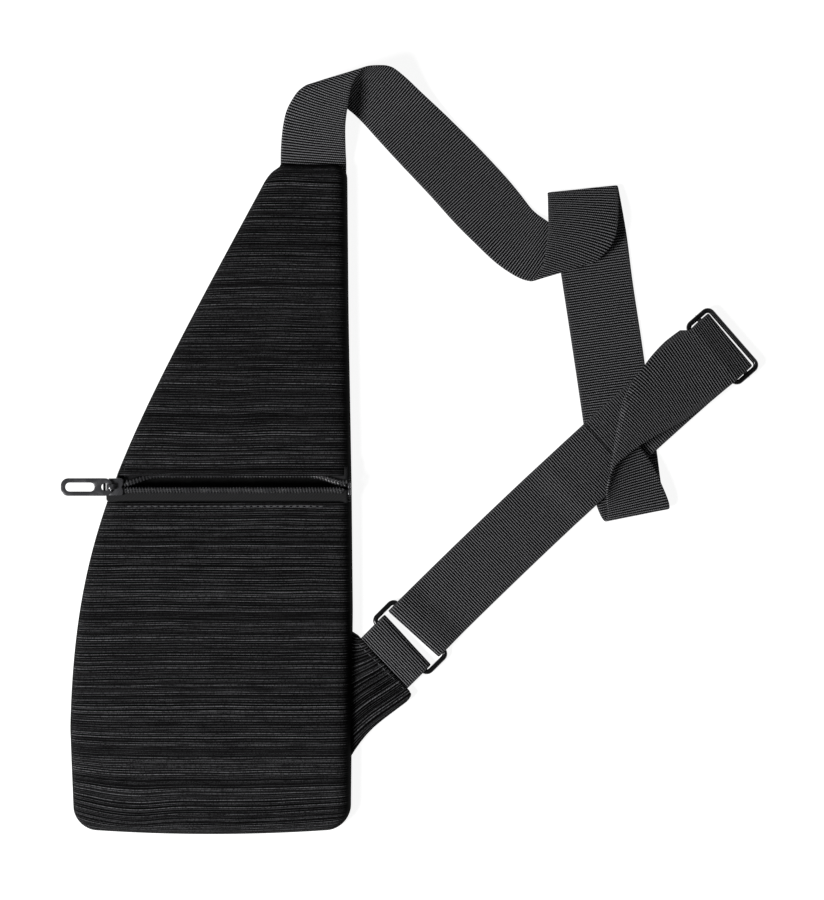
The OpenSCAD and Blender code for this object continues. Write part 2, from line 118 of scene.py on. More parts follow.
MIDDLE_RUN = [
    ((144.5, 141, 0.9), (169, 168.5, 0.9)), ((155, 131, 1.2), (176.5, 159, 1.2)),
    ((163, 125, 2.2), (183.5, 153.5, 2.3)), ((169, 121.5, 4), (192, 147.5, 3)),
    ((173, 120, 6.2), (200, 140.5, 3.8)), ((176, 120, 8), (209, 130.5, 6)),
    ((179.5, 124, 10), (214, 133.5, 8)), ((182, 130.5, 11), (218, 138, 9.5)),
    ((183.5, 139, 10.5), (221, 143.5, 10.2)), ((184.5, 148, 9), (222.5, 151.5, 9.5)),
    ((184.5, 157.5, 6.5), (223, 161, 7)), ((184.5, 166, 3.8), (223, 170, 3.9)),
    ((184.5, 168, 2.2), (223, 172, 2.2)), ((185, 164.5, 0.9), (224, 168.5, 0.9)),
    ((189, 142.5, 0.9), (228, 145.5, 0.9)), ((193.5, 113.5, 0.9), (231.5, 118.5, 0.9)),
    ((199, 77.5, 0.9), (237, 82, 0.9)), ((204, 43.5, 0.9), (241.5, 48.5, 0.9)),
    ((208, 16, 0.9), (245, 23.5, 0.9)),
]
FRONT_RUN = [
    ((208, 16, 0.9), (245, 23.5, 0.9)), ((210.5, 0.5, 0.95), (247, 8.5, 1)),
    ((213, -7.5, 2.2), (249, 0.5, 1.8)), ((215.5, -11.5, 4.4), (251, -4.5, 4.2)),
    ((217, -9.5, 6.8), (250.5, -1, 6.4)), ((217, -5, 8.5), (247, 7.5, 7.4)),
    ((216.5, -2, 10), (241, 20, 7.4)), ((216.5, 0.5, 11.6), (232.5, 32, 8)),
    ((216, 3, 13.2), (225, 41.5, 10.5)), ((216.5, 7, 14.6), (224, 48, 13)),
    ((218, 12.5, 15.6), (225, 53.5, 14.6)), ((220.5, 18.5, 16), (227.5, 59.5, 15.3)),
    ((227, 24.5, 15.8), (230.5, 65.5, 15.4)), ((236, 31, 15), (235, 71, 15)),
    ((246.5, 37, 14), (240, 78, 14.2)), ((257.5, 43, 13), (247.5, 86, 13.2)),
    ((267.5, 49.5, 12.2), (256, 92.5, 12.3)),
]


# ---- small sums ----
def ramp(value, start, end):
    t = max(0.0, min(1.0, (value - start) / (end - start)))
    return t * t * (3 - 2 * t)


def arc(cx, cz, radius, start, end, count):
    angles = [math.radians(start + (end - start) * i / count) for i in range(count + 1)]
    return [(cx + radius * math.cos(a), cz + radius * math.sin(a)) for a in angles]


def smoothed(points, count):
    """Points of a smooth curve through the given ones."""
    last = len(points) - 1
    out = []
    for i in range(last):
        a, b = points[max(i - 1, 0)], points[i]
        c, d = points[i + 1], points[min(i + 2, last)]
        for k in range(count):
            t = k / count
            out.append(0.5 * (2 * b + (c - a) * t + (2 * a - 5 * b + 4 * c - d) * t * t
                              + (3 * b - a - 3 * c + d) * t ** 3))
    out.append(points[last])
    return out


def bezier(t):
    p = [(34, HALF_LENGTH), (-48, HALF_LENGTH - 152), (-75, -13), (-HALF_WIDTH, -125)]
    w = [(1 - t) ** 3, 3 * (1 - t) ** 2 * t, 3 * (1 - t) * t * t, t ** 3]
    return tuple(sum(w[k] * p[k][axis] for k in range(4)) for axis in range(2))


# ---- the bag's outline ----
def left_chain():
    """The left side, from the bottom up."""
    corner = arc(13 - HALF_WIDTH, 13 - HALF_LENGTH, 13, 270, 180, 24)
    return corner + [bezier(1 - i / 120) for i in range(121)]


def right_chain():
    """The right side, from the bottom up."""
    corner = arc(HALF_WIDTH - 13, 13 - HALF_LENGTH, 13, 270, 360, 24)
    side = [(HALF_WIDTH, -60), (HALF_WIDTH - 0.7, 10), (HALF_WIDTH - 2.3, 100)]
    return corner + side + arc(HALF_WIDTH - 10, HALF_LENGTH - 7, 7, 0, 90, 16)


LEFT = np.array(left_chain(), float)
LEFT[:, 0] += [1.7 * ramp(y, -126, -170) + 4.5 * max(0, (y - 176) / 7.5) ** 2 for y in LEFT[:, 1]]
RIGHT = np.array(right_chain(), float)
RIGHT[:, 0] -= [1.0 * ramp(y, -120, -172) for y in RIGHT[:, 1]]
OUTLINE = np.vstack([RIGHT, LEFT[::-1]])


def side_at(chain, y):
    return float(np.interp(y, chain[:, 1], chain[:, 0]))


def edge_distance(points):
    """How far each point is from the bag's outline."""
    a = OUTLINE
    b = np.roll(OUTLINE, -1, axis=0)
    d = b - a
    best = np.full(len(points), 1e9)
    for start, step in zip(a, d):
        length = float(step @ step)
        if length < 1e-9:
            continue
        t = np.clip(((points - start) @ step) / length, 0, 1)
        best = np.minimum(best, np.linalg.norm(points - start - t[:, None] * step, axis=1))
    return best


def front_height(distance, top):
    """Height of the front at a distance from the outline: steep at the seam, then level."""
    t = np.clip(distance / EDGE_ROUND, 0, 1)
    return BACK + (top - BACK) * (1 - (1 - t) ** 2.6) ** (1 / 2.6)


def filled(low, high, count):
    """The given places, with evenly spaced ones between them."""
    return low + [low[-1] + (high[0] - low[-1]) * i / count for i in range(1, count)] + high


def graded(start, end, fine_start, fine_end, step):
    """Places from start to end, closer together at the ends that are fine."""
    low = [start + n for n in NEAR_EDGE] if fine_start else [start]
    high = [end - n for n in reversed(NEAR_EDGE)] if fine_end else [end]
    return filled(low, high, max(1, round((high[0] - low[-1]) / step)))


def across(y, inset, count=52):
    """Places across the bag at one place along it, closer together near its sides."""
    left, right = side_at(LEFT, y) + inset, side_at(RIGHT, y) - inset
    return filled([left + n for n in NEAR_EDGE], [right - n for n in reversed(NEAR_EDGE)], count)


def sag(x, y):
    """Soft unevenness of cloth over a flat bag, with creases towards the lower left corner."""
    broad = noise.noise(Vector((x / 55, y / 70, 3.1))) * 0.9
    small = noise.noise(Vector((x / 17, y / 24, 7.7))) * 0.28
    near = ramp(math.hypot(x + 62, y + 168), 75, 5)
    crease = math.sin((y * 0.9 + x * 0.35) / 4.2 + noise.noise(Vector((x / 22, y / 22, 1))) * 3)
    return broad + small + 0.42 * near * crease


def drawn_up(x, y):
    """Height after the bottom's corners are pulled up a little, which leaves its edge bowed."""
    return y + 2.6 * (x / 70) ** 2 * ramp(y, -135, -HALF_LENGTH)


def stripe_drift(x, y):
    """How far the stripes wander up or down."""
    slow = noise.noise(Vector((x / 70, y / 60, 11.0))) * 1.1
    fine = noise.noise(Vector((x / 21, y / 15, 5.0))) * 0.35
    dip = 2.4 * math.exp(-((x + 42) / 17) ** 2) * ramp(y, -135, -176)
    return slow + fine + dip - 1.6 * ramp(x, -55, -78) * ramp(y, -90, -175)


# ---- making objects ----
def to_object(name, mesh, finish, body):
    obj = bpy.data.objects.new(name, mesh)
    bpy.context.scene.collection.objects.link(obj)
    mesh.materials.append(bpy.data.materials[finish])
    mesh.polygons.foreach_set("use_smooth", [True] * len(mesh.polygons))
    if body:
        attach(obj, body)
    return obj


def cloth(name, rows, flat, finish, body, wrap=False, painted_shade=None):
    """A piece of cloth through rows of points, with the place of each point when laid flat."""
    n = len(rows[0])
    verts = [Vector(p) * MM for row in rows for p in row]
    places = [(u * MM, v * MM) for row in flat for u, v in row]
    faces = []
    for i in range(len(rows) - 1):
        for k in range(n if wrap else n - 1):
            m = (k + 1) % n
            faces.append((i * n + k, i * n + m, (i + 1) * n + m, (i + 1) * n + k))
    if wrap:
        faces.append(tuple(range(n - 1, -1, -1)))
        faces.append(tuple((len(rows) - 1) * n + k for k in range(n)))
    mesh = bpy.data.meshes.new(name)
    mesh.from_pydata(verts, [], faces)
    layer = mesh.uv_layers.new(name="cloth")
    for loop in mesh.loops:
        layer.data[loop.index].uv = places[loop.vertex_index]
    # Per-point factor that dims the stripes where shade falls: painted shade.
    if painted_shade is not None:
        attribute = mesh.attributes.new("stripe_painted_shade", "FLOAT", "POINT")
        attribute.data.foreach_set("value", [f for row in painted_shade for f in row])
    if wrap:
        bm = bmesh.new()
        bm.from_mesh(mesh)
        bmesh.ops.recalc_face_normals(bm, faces=bm.faces[:])
        bm.to_mesh(mesh)
        bm.free()
    return to_object(name, mesh, finish, body)


def solid(name, bm, finish, body):
    """A finished hard piece from its bmesh."""
    bmesh.ops.remove_doubles(bm, verts=bm.verts[:], dist=1e-6)
    bmesh.ops.recalc_face_normals(bm, faces=bm.faces[:])
    mesh = bpy.data.meshes.new(name)
    bm.to_mesh(mesh)
    bm.free()
    obj = to_object(name, mesh, finish, body)
    mesh.set_sharp_from_angle(angle=math.radians(50))
    return obj


def only(kind, geom):
    """The vertices, edges or faces among what an operator made."""
    return [g for g in geom if isinstance(g, kind)]


def thicken(obj, thickness):
    modifier = obj.modifiers.new("Cloth thickness", "SOLIDIFY")
    modifier.thickness = thickness * MM
    modifier.offset = -1


def bevel_rims(bm, offset):
    rims = [e for e in bm.edges if len(e.link_faces) == 2 and e.calc_face_angle(0) > SHARP]
    bmesh.ops.bevel(bm, geom=rims, offset=offset * MM, offset_type="OFFSET", segments=2,
                    profile=0.5, affect="EDGES", material=-1, clamp_overlap=True)


def stamped(loops, low, high, bevel):
    """A flat stamped plate: the first loop is its outline and the rest are holes."""
    bm = bmesh.new()
    edges = []
    for loop in loops:
        verts = [bm.verts.new((x * MM, y * MM, low * MM)) for x, y in loop]
        edges += [bm.edges.new((verts[i - 1], verts[i])) for i in range(len(verts))]
    bmesh.ops.triangle_fill(bm, use_beauty=True, edges=edges, normal=(0, 0, 1))
    lifted = bmesh.ops.extrude_face_region(bm, geom=bm.faces[:])
    bmesh.ops.translate(bm, vec=(0, 0, (high - low) * MM),
                        verts=only(bmesh.types.BMVert, lifted["geom"]))
    bmesh.ops.recalc_face_normals(bm, faces=bm.faces[:])
    bevel_rims(bm, bevel)
    return bm


def add_block(bm, low, high, bevel):
    """Adds a block with rounded edges."""
    size = [(b - a) * MM for a, b in zip(low, high)]
    middle = [(a + b) / 2 * MM for a, b in zip(low, high)]
    block = bmesh.new()
    bmesh.ops.create_cube(block, size=1)
    bmesh.ops.scale(block, vec=size, verts=block.verts[:])
    bevel_rims(block, bevel)
    bmesh.ops.translate(block, vec=middle, verts=block.verts[:])
    join(bm, block)


def join(bm, other):
    """Puts a second bmesh into the first."""
    mesh = bpy.data.meshes.new("joining")
    other.to_mesh(mesh)
    other.free()
    bm.from_mesh(mesh)
    bpy.data.meshes.remove(mesh)


def add_stitches(bm, places, length, width):
    """Adds one small bead of thread at each place, given as a point and a heading."""
    for (x, y, z), heading in places:
        made = bmesh.ops.create_uvsphere(bm, u_segments=6, v_segments=4, radius=1.0)
        verts = made["verts"]
        bmesh.ops.scale(bm, vec=(length * MM / 2, width * MM / 2, width * MM / 2.4), verts=verts)
        bmesh.ops.rotate(bm, cent=(0, 0, 0), verts=verts,
                         matrix=Matrix.Rotation(heading, 3, "Z"))
        bmesh.ops.translate(bm, vec=(x * MM, y * MM, z * MM), verts=verts)


def wire_frame(length, width, corner, radius, place):
    """A closed rectangle of round wire, swept along its four sides and round its corners."""
    bm = bmesh.new()
    x, y = length / 2 * MM, width / 2 * MM
    r = corner * MM
    made = bmesh.ops.create_circle(bm, segments=18, radius=radius * MM, matrix=(
        Matrix.Translation((x, r - y, 0)) @ Matrix.Rotation(math.pi / 2, 4, "X")))
    edges = list({e for v in made["verts"] for e in v.link_edges})
    centre = [(x - r, y - r), (r - x, y - r), (r - x, r - y), (x - r, r - y)]
    travel = [(0, 2 * (y - r)), (-2 * (x - r), 0), (0, -2 * (y - r)), (2 * (x - r), 0)]
    for (cx, cy), (dx, dy) in zip(centre, travel):
        steps = max(2, int(math.hypot(dx, dy) / MM / 3))
        for _ in range(steps):
            grown = bmesh.ops.extrude_edge_only(bm, edges=edges)["geom"]
            edges = only(bmesh.types.BMEdge, grown)
            bmesh.ops.translate(bm, vec=(dx / steps, dy / steps, 0),
                                verts=only(bmesh.types.BMVert, grown))
        turned = bmesh.ops.spin(bm, geom=edges, cent=(cx, cy, 0), axis=(0, 0, 1),
                                angle=math.pi / 2, steps=8, use_merge=False)
        edges = only(bmesh.types.BMEdge, turned["geom_last"])
    bmesh.ops.remove_doubles(bm, verts=bm.verts[:], dist=2e-6)
    bmesh.ops.transform(bm, matrix=place, verts=bm.verts[:])
    return bm


# ---- materials ----
class Graph:
    """Adds nodes to one tree and joins them."""

    def __init__(self, tree):
        self.tree = tree

    def add(self, kind, **settings):
        made = self.tree.nodes.new(kind)
        for name, value in settings.items():
            setattr(made, name, value)
        return made

    def put(self, socket, value):
        if isinstance(value, bpy.types.NodeSocket):
            self.tree.links.new(value, socket)
        else:
            socket.default_value = value

    def math(self, operation, first, second=None):
        made = self.add("ShaderNodeMath", operation=operation)
        self.put(made.inputs[0], first)
        if second is not None:
            self.put(made.inputs[1], second)
        return made.outputs[0]

    def span(self, value, low, high, to_low=0.0, to_high=1.0):
        made = self.add("ShaderNodeMapRange", interpolation_type="SMOOTHSTEP")
        for index, part in enumerate((value, low, high, to_low, to_high)):
            self.put(made.inputs[index], part)
        return made.outputs[0]

    def wave(self, angle):
        """A wave between 0 and 1."""
        return self.math("MULTIPLY", self.math("ADD", 1.0, self.math("COSINE", angle)), 0.5)

    def grain(self, vector, scale, detail=3.0):
        made = self.add("ShaderNodeTexNoise")
        self.put(made.inputs["Vector"], vector)
        self.put(made.inputs["Scale"], scale)
        self.put(made.inputs["Detail"], detail)
        return made.outputs[0]

    def blend(self, factor, first, second):
        made = self.add("ShaderNodeMix", data_type="RGBA")
        self.put(made.inputs[0], factor)
        self.put(made.inputs[6], first)
        self.put(made.inputs[7], second)
        return made.outputs[2]

    def together(self, x, y):
        made = self.add("ShaderNodeCombineXYZ")
        self.put(made.inputs[0], x)
        self.put(made.inputs[1], y)
        return made.outputs[0]

    def apart(self, vector):
        made = self.add("ShaderNodeSeparateXYZ")
        self.put(made.inputs[0], vector)
        return made.outputs[0], made.outputs[1]


def new_group(name, inputs, outputs):
    tree = bpy.data.node_groups.new(name, "ShaderNodeTree")
    for label, kind, value in inputs:
        socket = tree.interface.new_socket(name=label, in_out="INPUT", socket_type=kind)
        if value is not None:
            socket.default_value = value
    for label in outputs:
        tree.interface.new_socket(name=label, in_out="OUTPUT", socket_type="NodeSocketFloat")
    graph = Graph(tree)
    return graph, graph.add("NodeGroupInput"), graph.add("NodeGroupOutput")


def stripe_layer(g, u, v, pitch, line, seed):
    """One set of thin lines, each with its own place, width and strength."""
    rows = g.math("DIVIDE", v, pitch)
    row = g.math("FLOOR", rows)
    part = g.math("FRACT", rows)
    chance = g.add("ShaderNodeTexWhiteNoise", noise_dimensions="1D")
    g.put(chance.inputs["W"], g.math("ADD", row, seed))
    split = g.add("ShaderNodeSeparateColor")
    g.put(split.inputs[0], chance.outputs["Color"])
    place = g.math("ADD", 0.3, g.math("MULTIPLY", split.outputs[0], 0.4))
    away = g.math("ABSOLUTE", g.math("SUBTRACT", part, place))
    width = g.math("MULTIPLY", line, g.math("ADD", 0.45, split.outputs[1]))
    mask = g.span(away, width, g.math("MULTIPLY", width, 0.3))
    strength = g.math("ADD", 0.25, g.math("MULTIPLY", split.outputs[2], 0.75))
    worn = g.grain(g.together(g.math("MULTIPLY", u, 55.0), g.math("MULTIPLY", row, 3.7)), 1.0, 4.0)
    kept = g.span(worn, 0.32, 0.62, 0.35, 1.0)
    speck = g.grain(g.together(g.math("MULTIPLY", u, 1300.0), g.math("MULTIPLY", row, 5.3)), 1.0)
    kept = g.math("MULTIPLY", kept, g.span(speck, 0.34, 0.6, 0.3, 1.0))
    return g.math("MULTIPLY", mask, g.math("MULTIPLY", strength, kept))


def woven_stripes():
    g, given, out = new_group("Woven Stripes", [
        ("Vector", "NodeSocketVector", None), ("Pitch", "NodeSocketFloat", 0.0017),
        ("Line", "NodeSocketFloat", 0.2)], ["Stripe", "Height", "Tone"])
    u, v = g.apart(given.outputs["Vector"])
    pitch, line = given.outputs["Pitch"], given.outputs["Line"]
    first = stripe_layer(g, u, v, pitch, line, 0.0)
    second = stripe_layer(g, u, v, g.math("MULTIPLY", pitch, 0.61), line, 91.0)
    stripe = g.math("MAXIMUM", first, g.math("MULTIPLY", second, 0.4))
    threads = g.wave(g.math("MULTIPLY", u, 2 * math.pi / 0.0006))
    tone = g.grain(given.outputs["Vector"], 38.0, 4.0)
    fine = g.grain(given.outputs["Vector"], 1600.0, 2.0)
    height = g.math("ADD", g.math("MULTIPLY", stripe, 0.7), g.math(
        "ADD", g.math("MULTIPLY", threads, 0.15), g.math("MULTIPLY", fine, 0.35)))
    for label, value in (("Stripe", stripe), ("Height", height), ("Tone", tone)):
        g.put(out.inputs[label], value)
    return g.tree


def ribbed_webbing():
    g, given, out = new_group("Ribbed Webbing", [
        ("Vector", "NodeSocketVector", None), ("Pitch", "NodeSocketFloat", 0.00138),
        ("Half Width", "NodeSocketFloat", 0.0187)], ["Rib", "Height", "Edge", "Tone"])
    u, v = g.apart(given.outputs["Vector"])
    shake = g.math("MULTIPLY", g.math("SUBTRACT", g.grain(given.outputs["Vector"], 90.0), 0.5),
                   0.00045)
    rows = g.math("DIVIDE", g.math("ADD", v, shake), given.outputs["Pitch"])
    rib = g.wave(g.math("MULTIPLY", rows, 2 * math.pi))
    half_turn = g.math("MULTIPLY", g.math("FLOOR", g.math("ADD", rows, 0.5)), math.pi)
    threads = g.wave(g.math("ADD", half_turn, g.math("MULTIPLY", u, 2 * math.pi / 0.0011)))
    # Mask of the selvedge band along each edge, which the material lightens as a painted highlight.
    edge = g.span(g.math("ABSOLUTE", u), g.math("SUBTRACT", given.outputs["Half Width"], 0.0016),
                  g.math("SUBTRACT", given.outputs["Half Width"], 0.0006))
    weave = g.math("MULTIPLY", g.span(rib, 0.4, 0.97), g.math("ADD", 0.4, g.math(
        "MULTIPLY", threads, 0.6)))
    tone = g.grain(given.outputs["Vector"], 30.0, 4.0)
    fine = g.grain(given.outputs["Vector"], 2200.0, 2.0)
    height = g.math("ADD", weave, g.math("MULTIPLY", fine, 0.2))
    for label, value in (("Rib", weave), ("Height", height), ("Edge", edge), ("Tone", tone)):
        g.put(out.inputs[label], value)
    return g.tree


def twill():
    g, given, out = new_group("Twill", [
        ("Vector", "NodeSocketVector", None), ("Pitch", "NodeSocketFloat", 0.0007)],
        ["Height", "Tone"])
    u, v = g.apart(given.outputs["Vector"])
    slant = g.math("DIVIDE", g.math("ADD", u, v), given.outputs["Pitch"])
    cross = g.math("DIVIDE", g.math("SUBTRACT", u, v), given.outputs["Pitch"])
    lines = g.math("COSINE", g.math("MULTIPLY", slant, 2 * math.pi))
    knots = g.math("COSINE", g.math("MULTIPLY", cross, math.pi))
    fine = g.grain(given.outputs["Vector"], 1500.0, 2.0)
    height = g.math("ADD", g.math("MULTIPLY", g.math("ADD", 1.0, lines), 0.4), g.math(
        "ADD", g.math("MULTIPLY", knots, 0.12), g.math("MULTIPLY", fine, 0.3)))
    g.put(out.inputs["Height"], height)
    g.put(out.inputs["Tone"], g.grain(given.outputs["Vector"], 60.0, 4.0))
    return g.tree


def handled_surface():
    g, given, out = new_group("Handled Surface", [
        ("Vector", "NodeSocketVector", None), ("Grain", "NodeSocketFloat", 900.0)],
        ["Smear", "Height", "Speck"])
    vector = given.outputs["Vector"]
    smear = g.grain(vector, 160.0, 5.0)
    height = g.grain(vector, given.outputs["Grain"], 3.0)
    speck = g.span(g.grain(vector, 2600.0, 1.0), 0.66, 0.75)
    for label, value in (("Smear", smear), ("Height", height), ("Speck", speck)):
        g.put(out.inputs[label], value)
    return g.tree


def start_material(name, roughness, specular=0.5, coat=0.0, metallic=0.0):
    material = bpy.data.materials.new(name)
    material.use_nodes = True
    tree = material.node_tree
    shader = tree.nodes["Principled BSDF"]
    shader.inputs["Roughness"].default_value = roughness
    shader.inputs["Specular IOR Level"].default_value = specular
    shader.inputs["Coat Weight"].default_value = coat
    shader.inputs["Coat Roughness"].default_value = 0.08
    shader.inputs["Metallic"].default_value = metallic
    return material, Graph(tree), shader


def use_group(g, tree, vector, **values):
    made = g.add("ShaderNodeGroup", node_tree=tree)
    g.put(made.inputs["Vector"], vector)
    for label, value in values.items():
        g.put(made.inputs[label], value)
    return made.outputs


def use_bump(g, shader, height, strength, distance):
    bump = g.add("ShaderNodeBump")
    bump.inputs["Strength"].default_value = strength
    bump.inputs["Distance"].default_value = distance * MM
    g.put(bump.inputs["Height"], height)
    g.put(shader.inputs["Normal"], bump.outputs[0])


def flat_place(g):
    return g.add("ShaderNodeUVMap", uv_map="cloth").outputs[0]


def object_place(g):
    return g.add("ShaderNodeTexCoord").outputs["Object"]


def grey(level):
    """A grey that leans a little to blue."""
    return (level, level, level * 1.04, 1.0)


def striped_material(group, look):
    material, g, shader = start_material("Striped Cloth", 0.82, specular=0.035)
    out = use_group(g, group, flat_place(g), Pitch=look.stripe_pitch, Line=look.stripe_width)
    # Stripes are multiplied by a per-point mask that dims them near the bag's sides and on tucked-in
    # walls: painted shade.
    painted_shade = g.add("ShaderNodeAttribute", attribute_name="stripe_painted_shade").outputs["Fac"]
    ground = g.blend(g.span(out["Tone"], 0.3, 0.7), grey(0.0006), grey(0.0018))
    stripe = g.math("MULTIPLY", out["Stripe"], painted_shade)
    g.put(shader.inputs["Base Color"], g.blend(stripe, ground, (*look.stripe_color, 1.0)))
    g.put(shader.inputs["Roughness"], g.span(out["Stripe"], 0.0, 1.0, 0.86, 0.6))
    use_bump(g, shader, out["Height"], 0.5, 0.12)
    return material


def webbing_material(group, look):
    material, g, shader = start_material("Ribbed Webbing", 0.5, specular=0.05)
    shader.inputs["Coat Roughness"].default_value = 0.3
    out = use_group(g, group, flat_place(g), Pitch=look.rib_pitch)
    ground = g.blend(g.span(out["Tone"], 0.3, 0.7), grey(0.0005), grey(0.0015))
    # Rib tops are lightened towards the rib highlight colour: a painted highlight on each rib.
    rib = g.blend(out["Rib"], ground, (*look.rib_highlight_color, 1.0))
    # The selvedge band is blended towards light grey: a painted highlight along the webbing's edges.
    g.put(shader.inputs["Base Color"], g.blend(
        g.math("MULTIPLY", out["Edge"], 0.5), rib, grey(0.06)))
    g.put(shader.inputs["Coat Weight"], g.math("MULTIPLY", out["Rib"], 0.35))
    g.put(shader.inputs["Roughness"], g.span(out["Rib"], 0.0, 1.0, 0.72, 0.44))
    use_bump(g, shader, out["Height"], 0.85, 0.22)
    return material


def twill_material(name, group, level, pitch, roughness, specular):
    material, g, shader = start_material(name, roughness, specular=specular)
    out = use_group(g, group, flat_place(g), Pitch=pitch * MM)
    thread = g.math("MULTIPLY", out["Height"], 0.8)
    ground = g.blend(thread, grey(level * 0.35), grey(level * 1.6))
    g.put(shader.inputs["Base Color"], g.blend(
        g.span(out["Tone"], 0.25, 0.75, 0.0, 0.4), ground, grey(level * 0.6)))
    g.put(shader.inputs["Roughness"], g.span(out["Tone"], 0.2, 0.8, roughness, roughness - 0.15))
    use_bump(g, shader, out["Height"], 0.6, 0.1)
    return material


def coated_material(name, group, color, roughness, coat, metallic, specular=0.5):
    """Painted, plated or moulded finish with faint handling marks."""
    material, g, shader = start_material(name, roughness, coat=coat, metallic=metallic,
                                         specular=specular)
    out = use_group(g, group, object_place(g), Grain=1100.0)
    light = tuple(min(1.0, c * 1.9) for c in color[:3])
    g.put(shader.inputs["Base Color"], g.blend(
        g.math("MULTIPLY", out["Smear"], 0.5), (*color[:3], 1.0), (*light, 1.0)))
    g.put(shader.inputs["Roughness"], g.math("ADD", g.span(
        out["Smear"], 0.3, 0.7, roughness * 0.75, roughness * 1.3), g.math(
        "MULTIPLY", out["Speck"], 0.08)))
    use_bump(g, shader, out["Height"], 0.12, 0.05)
    return material


def make_materials(look):
    stripes, ribs, weave, handled = (
        woven_stripes(), ribbed_webbing(), twill(), handled_surface())
    striped_material(stripes, look)
    webbing_material(ribs, look)
    twill_material("Back Cloth", weave, 0.016, 1.1, 0.88, 0.12)
    twill_material("Lining Cloth", weave, 0.004, 0.6, 0.7, 0.1)
    twill_material("Zip Tape", weave, 0.024, 0.9, 0.8, 0.1)
    coated_material("Coil Plastic", handled, (0.05, 0.05, 0.053), 0.25, 0.7, 0.0)
    coated_material("Sewing Thread", handled, (0.09, 0.09, 0.095), 0.6, 0.0, 0.0, 0.2)
    coated_material("Slider Plating", handled, tuple(look.slider_color), 0.26, 0.6, 0.25)
    coated_material("Black Enamel", handled, tuple(look.hardware_color), 0.26, 0.5, 0.0,
                    0.25)


# ---- the strap ----
def heading_at(s):
    return RING_HEADING - math.degrees(s / BEND_RADIUS)


def centre_at(s):
    a, b = math.radians(RING_HEADING), math.radians(heading_at(s))
    return (RING_AT[0] + BEND_RADIUS * (math.sin(a) - math.sin(b)),
            RING_AT[1] + BEND_RADIUS * (math.cos(b) - math.cos(a)))


def along_strap(s, side, z):
    c, h = centre_at(s), math.radians(heading_at(s))
    return Vector((c[0] - side * math.sin(h), c[1] + side * math.cos(h), z))


def rungs_along(path):
    """Rungs from places along the strap and heights, at most about 1.1 mm apart."""
    fine = [path[0]]
    for a, b in zip(path, path[1:]):
        count = max(1, int(math.dist(a, b) / 1.1))
        fine += [(a[0] + (b[0] - a[0]) * i / count, a[1] + (b[1] - a[1]) * i / count)
                 for i in range(1, count + 1)]
    return [(along_strap(s, -RAIL, z), along_strap(s, RAIL, z)) for s, z in fine]


def smooth_rungs(rungs, count):
    left = smoothed([Vector(r[0]) for r in rungs], count)
    right = smoothed([Vector(r[1]) for r in rungs], count)
    return list(zip(left, right))


def travel_at(rungs, i):
    """The strap's direction at one of its rungs."""
    before, after = rungs[max(i - 1, 0)], rungs[min(i + 1, len(rungs) - 1)]
    return ((after[0] - before[0]).normalized() + (after[1] - before[1]).normalized()).normalized()


def rib_skew(rungs):
    """How much further along the strap each rung's right end is than its left end."""
    lean, gained, steps = [], [0.0], [0.0]
    for i, (left, right) in enumerate(rungs):
        lean.append((right - left).dot(travel_at(rungs, i)))
        if i:
            on_left = (left - rungs[i - 1][0]).length
            on_right = (right - rungs[i - 1][1]).length
            gained.append(gained[-1] + on_right - on_left)
            steps.append(steps[-1] + (on_left + on_right) / 2)
    error = np.array(lean) - np.array(gained)
    places = np.array(steps)
    kernel = np.exp(-((places[:, None] - places[None, :]) / 26) ** 2)
    weight = np.gradient(places)
    eased = (kernel * weight * error).sum(axis=1) / (kernel * weight).sum(axis=1)
    return np.array(gained) + eased


def webbing_strip(name, rungs, nodes, body, start=0.0):
    """A run of webbing through its rungs, with ribs square to its edges."""
    places = [-1, -0.985, -0.95] + [-0.875 + 0.175 * i for i in range(11)] + [0.95, 0.985, 1]
    half = [0.28 if abs(a) == 1 else 0.5 if abs(a) > 0.96 else WEBBING / 2 for a in places]
    middle = [(a + b) / 2 for a, b in rungs]
    skew = rib_skew(rungs)
    rows, flat, length = [], [], start
    for i, (left, right) in enumerate(rungs):
        travel = travel_at(rungs, i)
        rung = right - left
        normal = travel.cross(rung).normalized()
        lean = rung.normalized().dot(travel)
        width = rung.length * math.sqrt(max(0.0, 1 - lean * lean))
        if i:
            length += (middle[i] - middle[i - 1]).length
        points, spots = [], []
        for side, order in ((1, range(len(places))), (-1, range(len(places) - 1, -1, -1))):
            for k in order:
                a = places[k]
                wave = 0.1 * noise.noise(Vector((length / 14, a * 1.5, 2.0)))
                points.append(left + rung * (a + 1) / 2 + normal * (side * half[k] + wave))
                spots.append((a * width / 2, length + a * skew[i] / 2))
        rows.append(points)
        flat.append(spots)
    obj = cloth(name, rows, flat, "Ribbed Webbing", body, wrap=True)
    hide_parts(*nodes)
    return obj, length


def over_layer(k):
    return OVER_R + k * (LAYER + 0.05)


def slanted(k):
    drop = LOW_Z + CROSSING_RISE - BAR_Z
    return [(-14, k * LAYER * 1.16), (-20, drop + k * LAYER * 1.16)]


def at_adjuster(path):
    return [(RING_TO_ADJUSTER + x, BAR_Z + z) for x, z in path]


def lower_z(s):
    return LOW_Z + CROSSING_RISE * ramp(s, 106, 121)


CROSS_ANGLE = math.degrees(math.acos((PASS_R + OVER_R) / BAR_OFFSET))


def over_angle(outer, inner):
    return 90 - math.degrees(math.asin((outer - inner) / BAR_OFFSET))


def pass_path():
    """The strap's way over the adjuster's outer bar, round its centre bar and back beneath."""
    angle = over_angle(over_layer(3), PASS_R)
    path = (arc(-BAR_OFFSET, 0, over_layer(3), 95, angle, 5)
            + arc(0, 0, PASS_R, angle, CROSS_ANGLE - 180, 22)
            + arc(-BAR_OFFSET, 0, OVER_R, CROSS_ANGLE, 110, 8)
            + slanted(0) + [(-26, LOW_Z + CROSSING_RISE - BAR_Z)])
    return at_adjuster(path) + [(s, lower_z(s)) for s in (200, 190, 182, 174, 162, CUT_AT)]


